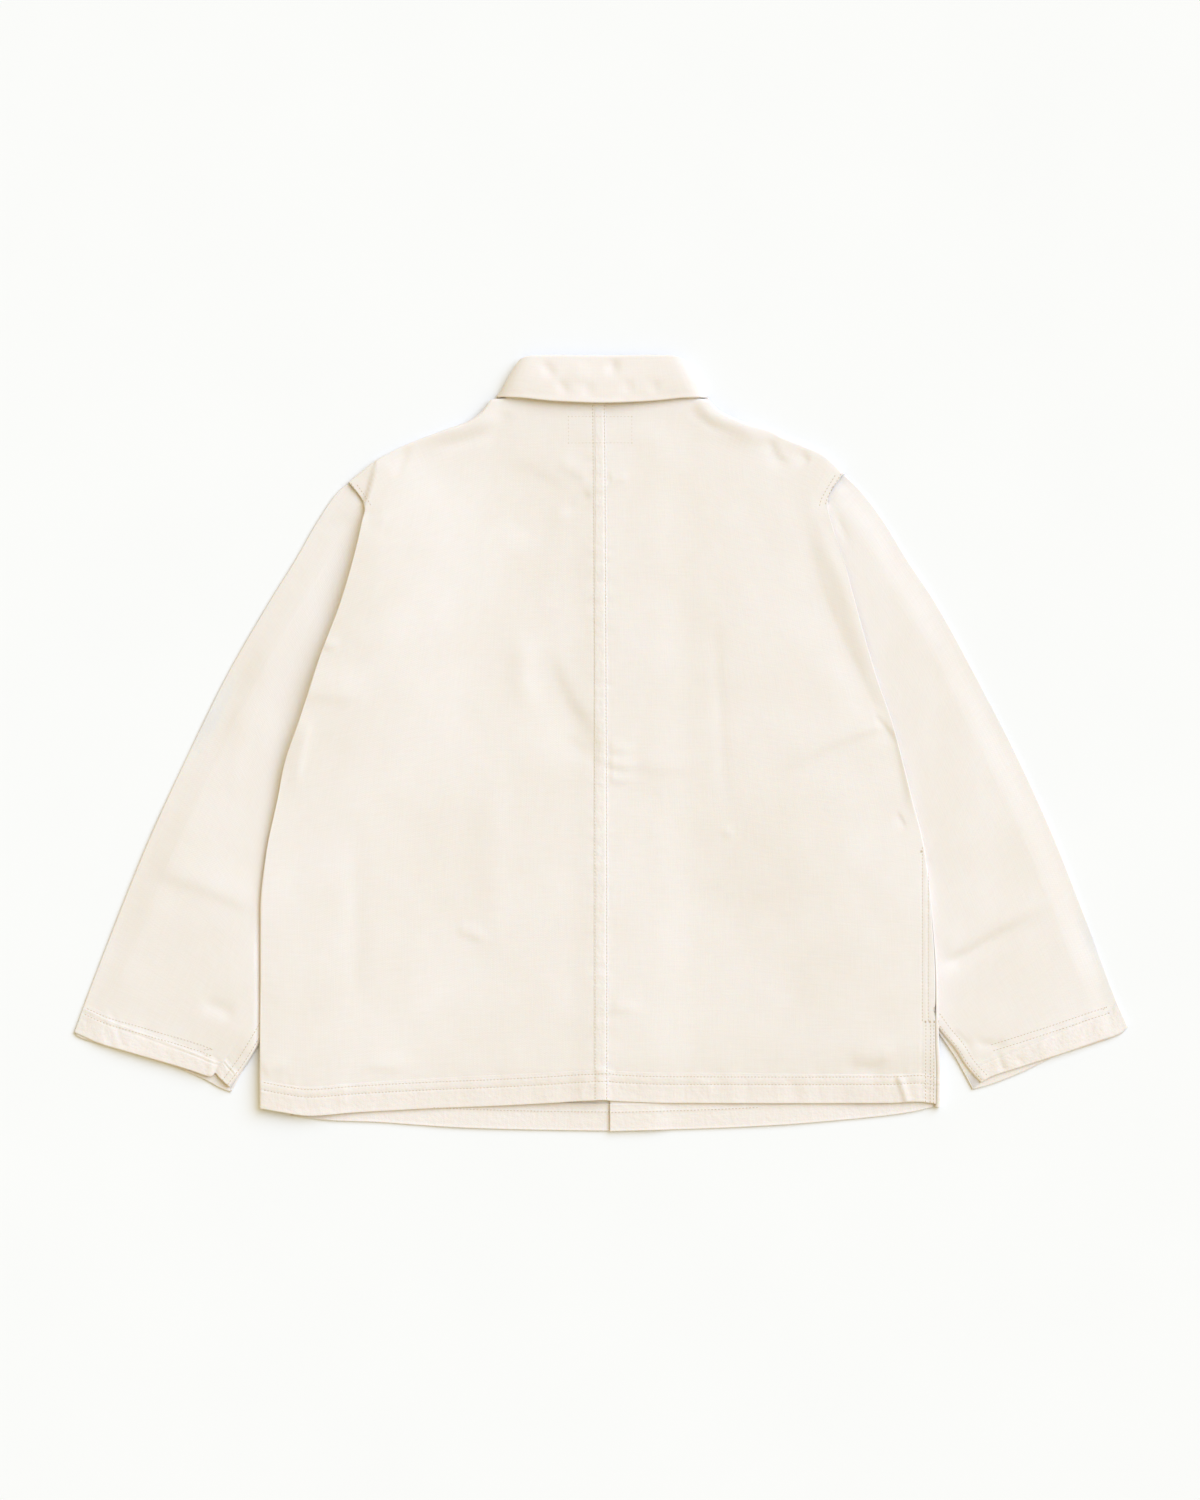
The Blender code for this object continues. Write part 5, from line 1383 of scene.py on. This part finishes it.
def sewing_rows():
    """Every row of stitches as (group, cloths it lies on, seen from below, run)."""
    rows = []
    y = np.linspace(-336.0, 320.0, 200)
    for inset in LAP_ROWS:
        rows.append(("back", ("back_left",), False, np.stack([centre_back_x(y) - inset, y], axis=-1)))
    for side, name in ((LEFT, "left"), (RIGHT, "right")):
        back, front, sleeve = ("%s_%s" % (part, name) for part in ("back", "front", "sleeve"))
        foot = SIDES[side][0]
        edge = [CENTRE_BACK[side][0], *BACK_HEM[side], Point(foot.fold - 3.5, foot.y)]
        for height in HEM_ROWS:
            cloths = (back, front) if side == RIGHT else (back,)
            rows.append(("back", cloths, False, hem_run(side, edge, height, 2.0)))
        start = -LEFT_FRONT_EDGE if side == LEFT else RIGHT_FRONT_EDGE
        corner = Point(foot.foot - SEAM, FRONT_CORNER_Y[side])
        edge = [Point(start, FRONT_EDGE_FOOT_Y), *FRONT_HEM[side], corner]
        for height in HEM_ROWS:
            run = hem_run(side, edge, height, 2.5)
            rows.append(("front", (front,), True, run))
            rows.append(("front", (front, back), False, run[run[:, 1] < FRONT_SHOWS_Y]))
        for table, below, end in ((CUFF, False, 0.86), (CUFF_UNDER, True, 0.9)):
            cuff = line(table[side])(np.linspace(0.02, end, 60)) * (side, 1.0)
            for height in CUFF_ROWS[side]:
                rows.append((sleeve, (sleeve,), below, shifted(cuff, side * -height)))
        fell = line(INNER_UPPER[side] + [CUFF[side][-1]])(np.linspace(0.0, 0.97, 30)) * (side, 1.0)
        for inset in FELL_ROWS:
            rows.append((sleeve, (sleeve,), False, shifted(fell, side * inset)))
    # the armholes' topstitching on the shoulders, where the body doesn't cover it
    for side, start, end in ((LEFT, 228.5, 246.5), (RIGHT, 228.0, 255.5)):
        at = np.linspace(start, end, 12)
        seam = np.stack([column(SIDES[side], "foot", at), at], axis=-1)
        name = "left" if side == LEFT else "right"
        for inset in (1.8, 7.6):
            run = seam - np.array([inset, 0.25 * inset])
            rows.append(("back", ("back_" + name,), False, run * np.array([side, 1.0])))
    # the right side seam, beside the pocket slit and below it
    for x, top, bottom in SIDE_SEAM_ROWS:
        rows.append(("back", ("back_right", "front_right"), False, [(x, top), (x, bottom)]))
    rows += bartacks()
    rows += neck_rows()
    return rows


def bartacks():
    """Dense short rows across the ends of the right pocket slit."""
    rows = []
    for y, start, end in ((SLIT_TOP + 3.0, 302.5, 308.5), (SLIT_BOTTOM - 2.2, 306.5, 318.8)):
        for k in range(3):
            run = [(start, y + 0.7 * k), (end, y + 0.7 * k)]
            rows.append(("back", ("back_right", "front_right"), False, run))
    return rows


def neck_rows():
    """A small rectangle of stitches through the back, below the collar."""
    left, right, low, high = NECK_BOX
    corners = [(left, high), (right, high), (right, low), (left, low), (left, high)]
    return [("neck", ("back_left", "back_right"), False, pair) for pair in zip(corners, corners[1:])]


# ---------------------------------------------------------------- add-on

class OvershirtSettings(bpy.types.PropertyGroup):
    """Sizes and colours of the overshirt's looks"""

    cloth_wall: bpy.props.FloatProperty(
        name="Cloth",
        description="Thickness of one ply with its nap",
        default=1.05 * MM,
        unit="LENGTH",
        precision=4,
    )
    grid_step: bpy.props.FloatProperty(
        name="Grid",
        description="Distance between the rows of a shell",
        default=2.9 * MM,
        unit="LENGTH",
        precision=4,
    )
    twill_colour: bpy.props.FloatVectorProperty(
        name="Twill", description="Colour of the undyed twill", subtype="COLOR", size=3, default=srgb("F0E8E0")
    )
    # darker than the cloth: the thread's own colour with painted shade of the needle holes, so each row shows
    # as a dark dotted line
    thread_and_stitch_shade_colour: bpy.props.FloatVectorProperty(
        name="Thread",
        description="Colour of the sewing thread",
        subtype="COLOR",
        size=3,
        default=srgb("D4C2A3"),
    )
    button_colour: bpy.props.FloatVectorProperty(
        name="Buttons", description="Colour of the buttons", subtype="COLOR", size=3, default=srgb("E3D9C8")
    )
    stitch_pitch: bpy.props.FloatProperty(
        name="Stitch pitch",
        description="Distance from stitch to stitch",
        default=3.2 * MM,
        unit="LENGTH",
        precision=4,
    )
    weave_coarse: bpy.props.FloatProperty(
        name="Weave scale", description="How many times coarser than life the weave is drawn", default=1.7
    )
    weave_depth: bpy.props.FloatProperty(
        name="Weave depth", description="Depth of the weave in mm", default=0.09
    )
    floor_colour: bpy.props.FloatVectorProperty(
        name="Floor", description="Colour of the floor", subtype="COLOR", size=3, default=srgb("F4F4F3")
    )
    lens: bpy.props.FloatProperty(name="Lens", description="Focal length in mm", default=100.0)
    frame_height: bpy.props.FloatProperty(
        name="Frame height", description="Height of floor that the camera sees", default=1.425, unit="LENGTH"
    )
    sun: bpy.props.FloatProperty(name="Key light", description="Strength of the key light", default=3.36)
    sky: bpy.props.FloatProperty(name="Fill light", description="Strength of the even fill", default=0.666)


def settings():
    """The add-on's settings in this scene."""
    return bpy.context.scene.overshirt


def material_once(name, make):
    """The material of this name, made where there is none yet."""
    return bpy.data.materials.get(name) or make(name)


def twill():
    """The cloth of every outer piece."""
    s = settings()
    return material_once(
        "undyed_cotton_twill",
        lambda name: twill_material(name, tuple(s.twill_colour), s.weave_coarse, s.weave_depth),
    )


class OVERSHIRT_OT_backs(bpy.types.Operator):
    """Builds both halves of the back"""

    bl_idname = "overshirt.backs"
    bl_label = "Back"

    def execute(self, context):
        s = settings()
        for side, name in ((LEFT, "left"), (RIGHT, "right")):
            grid, flat, thick = back_panel(side, s.cloth_wall / MM, s.grid_step / MM)
            lap = LAP_ROWS[1] + 1.0 if side == LEFT else 0.0
            piece = sheet_object("cloth_back_" + name, grid, flat, thick, True, twill(), lap=lap)
            dress(piece, "back_" + name)
        return {"FINISHED"}


class OVERSHIRT_OT_fronts(bpy.types.Operator):
    """Builds both fronts"""

    bl_idname = "overshirt.fronts"
    bl_label = "Fronts"

    def execute(self, context):
        s = settings()
        for side, name in ((LEFT, "left"), (RIGHT, "right")):
            grid, flat, thick = front_panel(side, s.cloth_wall / MM, 5.0)
            piece = sheet_object("cloth_front_" + name, grid, flat, thick, False, twill())
            dress(piece, "front_" + name)
        return {"FINISHED"}


class OVERSHIRT_OT_sleeves(bpy.types.Operator):
    """Builds both sleeves, each a flat tube with an upper and a lower layer"""

    bl_idname = "overshirt.sleeves"
    bl_label = "Sleeves"

    def execute(self, context):
        s = settings()
        for side, name in ((LEFT, "left"), (RIGHT, "right")):
            grid, flat, thick = sleeve_rings(side, s.cloth_wall / MM, 3.6)
            piece = sheet_object("cloth_sleeve_" + name, grid, flat, thick, True, twill(), ring=True)
            dress(piece, "sleeve_" + name)
        return {"FINISHED"}


class OVERSHIRT_OT_collar(bpy.types.Operator):
    """Builds the collar, its stand and leaf in one"""

    bl_idname = "overshirt.collar"
    bl_label = "Collar"

    def execute(self, context):
        grid, flat, thick = collar_sections()
        piece = sheet_object("cloth_collar", grid, flat, thick, True, twill())
        dress(piece, "collar")
        return {"FINISHED"}


class OVERSHIRT_OT_pockets(bpy.types.Operator):
    """Builds the bags of the in-seam pockets"""

    bl_idname = "overshirt.pockets"
    bl_label = "Pocket bags"

    def execute(self, context):
        lining = material_once(
            "cotton_pocketing", lambda name: twill_material(name, srgb("EBE3D3"), 1.6, 0.2)
        )
        for side, name in ((LEFT, "left"), (RIGHT, "right")):
            grid, flat, thick = bag_panel(side, 0.8)
            piece = sheet_object("cloth_bag_" + name, grid, flat, thick, False, lining)
            dress(piece, "pocket_bag_" + name)
        return {"FINISHED"}


class OVERSHIRT_OT_buttons(bpy.types.Operator):
    """Gives the buttons their resin"""

    bl_idname = "overshirt.buttons"
    bl_label = "Buttons"

    def execute(self, context):
        resin = material_once(
            "cast_button_resin", lambda name: resin_material(name, tuple(settings().button_colour))
        )
        for count in range(BUTTON_COUNT):
            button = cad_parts["button_%d" % (count + 1)]
            for holder in button.material_slots:
                holder.material = resin
        return {"FINISHED"}


class OVERSHIRT_OT_sewing(bpy.types.Operator):
    """Sews every row of stitches"""

    bl_idname = "overshirt.sewing"
    bl_label = "Sewing"

    def execute(self, context):
        s = settings()
        thread = material_once("cotton_thread", lambda name: thread_material(name, tuple(s.thread_and_stitch_shade_colour)))
        tree = stitch_tree()
        ids = {item.name: item.identifier for item in tree.interface.items_tree if item.in_out == "INPUT"}
        graph = context.evaluated_depsgraph_get()
        rows = [row for row in sewing_rows() if len(row[-1]) > 1]
        cloths = {}
        for name in sorted({name for row in rows for name in row[1]}):
            cloths[name] = BVHTree.FromObject(bpy.data.objects["cloth_" + name], graph)
        groups = {}
        for group, names, below, run in rows:
            sink = (0.42 if below else 0.06) * MM
            placed = drop(resample(run, 1.6), [cloths[name] for name in names], below, sink)
            groups.setdefault(group, []).append(placed)
        for group, runs in groups.items():
            places, edges = [], []
            for run in runs:
                for i, (start, end) in enumerate(zip(run, run[1:]), len(places)):
                    if math.dist(start, end) < 4 * MM:
                        edges.append((i, i + 1))
                places += run
            mesh = bpy.data.meshes.new("stitches_" + group)
            mesh.from_pydata(places, edges, [])
            piece = bpy.data.objects.new("stitches_" + group, mesh)
            context.scene.collection.objects.link(piece)
            sewn = piece.modifiers.new("Stitches", "NODES")
            sewn.node_group = tree
            sewn[ids["Pitch"]] = s.stitch_pitch
            sewn[ids["Length"]] = STITCH_SHARE * s.stitch_pitch
            sewn[ids["Width"]] = (NECK_THREAD if group == "neck" else THREAD) * MM
            sewn[ids["Thread"]] = thread
            applied(piece)
            if not piece.data.materials:
                piece.data.materials.append(thread)
            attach(piece, "root")
        return {"FINISHED"}


class OVERSHIRT_OT_stage(bpy.types.Operator):
    """Sets the floor, the light and the camera straight above"""

    bl_idname = "overshirt.stage"
    bl_label = "Stage"

    def execute(self, context):
        s = settings()
        mesh = bpy.data.meshes.new("floor")
        shape = bmesh.new()
        bmesh.ops.create_grid(shape, x_segments=2, y_segments=2, size=6.0)
        bmesh.ops.translate(shape, verts=shape.verts, vec=(0, 0, -FLOOR_DROP))
        shape.to_mesh(mesh)
        shape.free()
        floor = bpy.data.objects.new("floor", mesh)
        floor.data.materials.append(floor_material("matte_board", tuple(s.floor_colour)))
        context.scene.collection.objects.link(floor)
        camera = bpy.data.objects.new("camera", bpy.data.cameras.new("camera"))
        camera.data.lens = s.lens
        camera.data.sensor_width = 36.0
        camera.location = (-1.9 * MM, -6.2 * MM, s.frame_height * s.lens / 36.0)
        context.scene.collection.objects.link(camera)
        context.scene.camera = camera
        key = bpy.data.objects.new("key", bpy.data.lights.new("key", "SUN"))
        key.data.energy = s.sun
        key.data.angle = KEY_WIDTH
        key.data.color = KEY_COLOUR
        towards = Vector((math.cos(KEY_TURN), math.sin(KEY_TURN), math.tan(KEY_HEIGHT)))
        key.rotation_euler = towards.to_track_quat("Z", "Y").to_euler()
        context.scene.collection.objects.link(key)
        world = bpy.data.worlds.new("studio")
        world.use_nodes = True
        sky = world.node_tree.nodes["Background"]
        sky.inputs["Color"].default_value = (*SKY_COLOUR, 1.0)
        sky.inputs["Strength"].default_value = s.sky
        context.scene.world = world
        context.scene.view_settings.view_transform = "Standard"
        context.scene.view_settings.look = "None"
        return {"FINISHED"}


OPERATORS = (
    OVERSHIRT_OT_stage,
    OVERSHIRT_OT_backs,
    OVERSHIRT_OT_fronts,
    OVERSHIRT_OT_sleeves,
    OVERSHIRT_OT_collar,
    OVERSHIRT_OT_pockets,
    OVERSHIRT_OT_buttons,
    OVERSHIRT_OT_sewing,
)


class VIEW3D_PT_overshirt(bpy.types.Panel):
    """The overshirt's tab in the sidebar"""

    bl_label = "Laid overshirt"
    bl_space_type = "VIEW_3D"
    bl_region_type = "UI"
    bl_category = "Overshirt"

    def draw(self, context):
        for operator in OPERATORS:
            self.layout.operator(operator.bl_idname)
        for name in OvershirtSettings.__annotations__:
            self.layout.prop(context.scene.overshirt, name)


CLASSES = (OvershirtSettings, *OPERATORS, VIEW3D_PT_overshirt)


def register():
    """Registers the add-on."""
    for item in CLASSES:
        bpy.utils.register_class(item)
    bpy.types.Scene.overshirt = bpy.props.PointerProperty(type=OvershirtSettings)


def unregister():
    """Takes the add-on out again."""
    del bpy.types.Scene.overshirt
    for item in reversed(CLASSES):
        bpy.utils.unregister_class(item)


def main():
    """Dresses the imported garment."""
    register()
    for operator in OPERATORS:
        group, name = operator.bl_idname.split(".")
        getattr(getattr(bpy.ops, group), name)()
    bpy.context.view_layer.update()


if __name__ == "__main__":
    main()
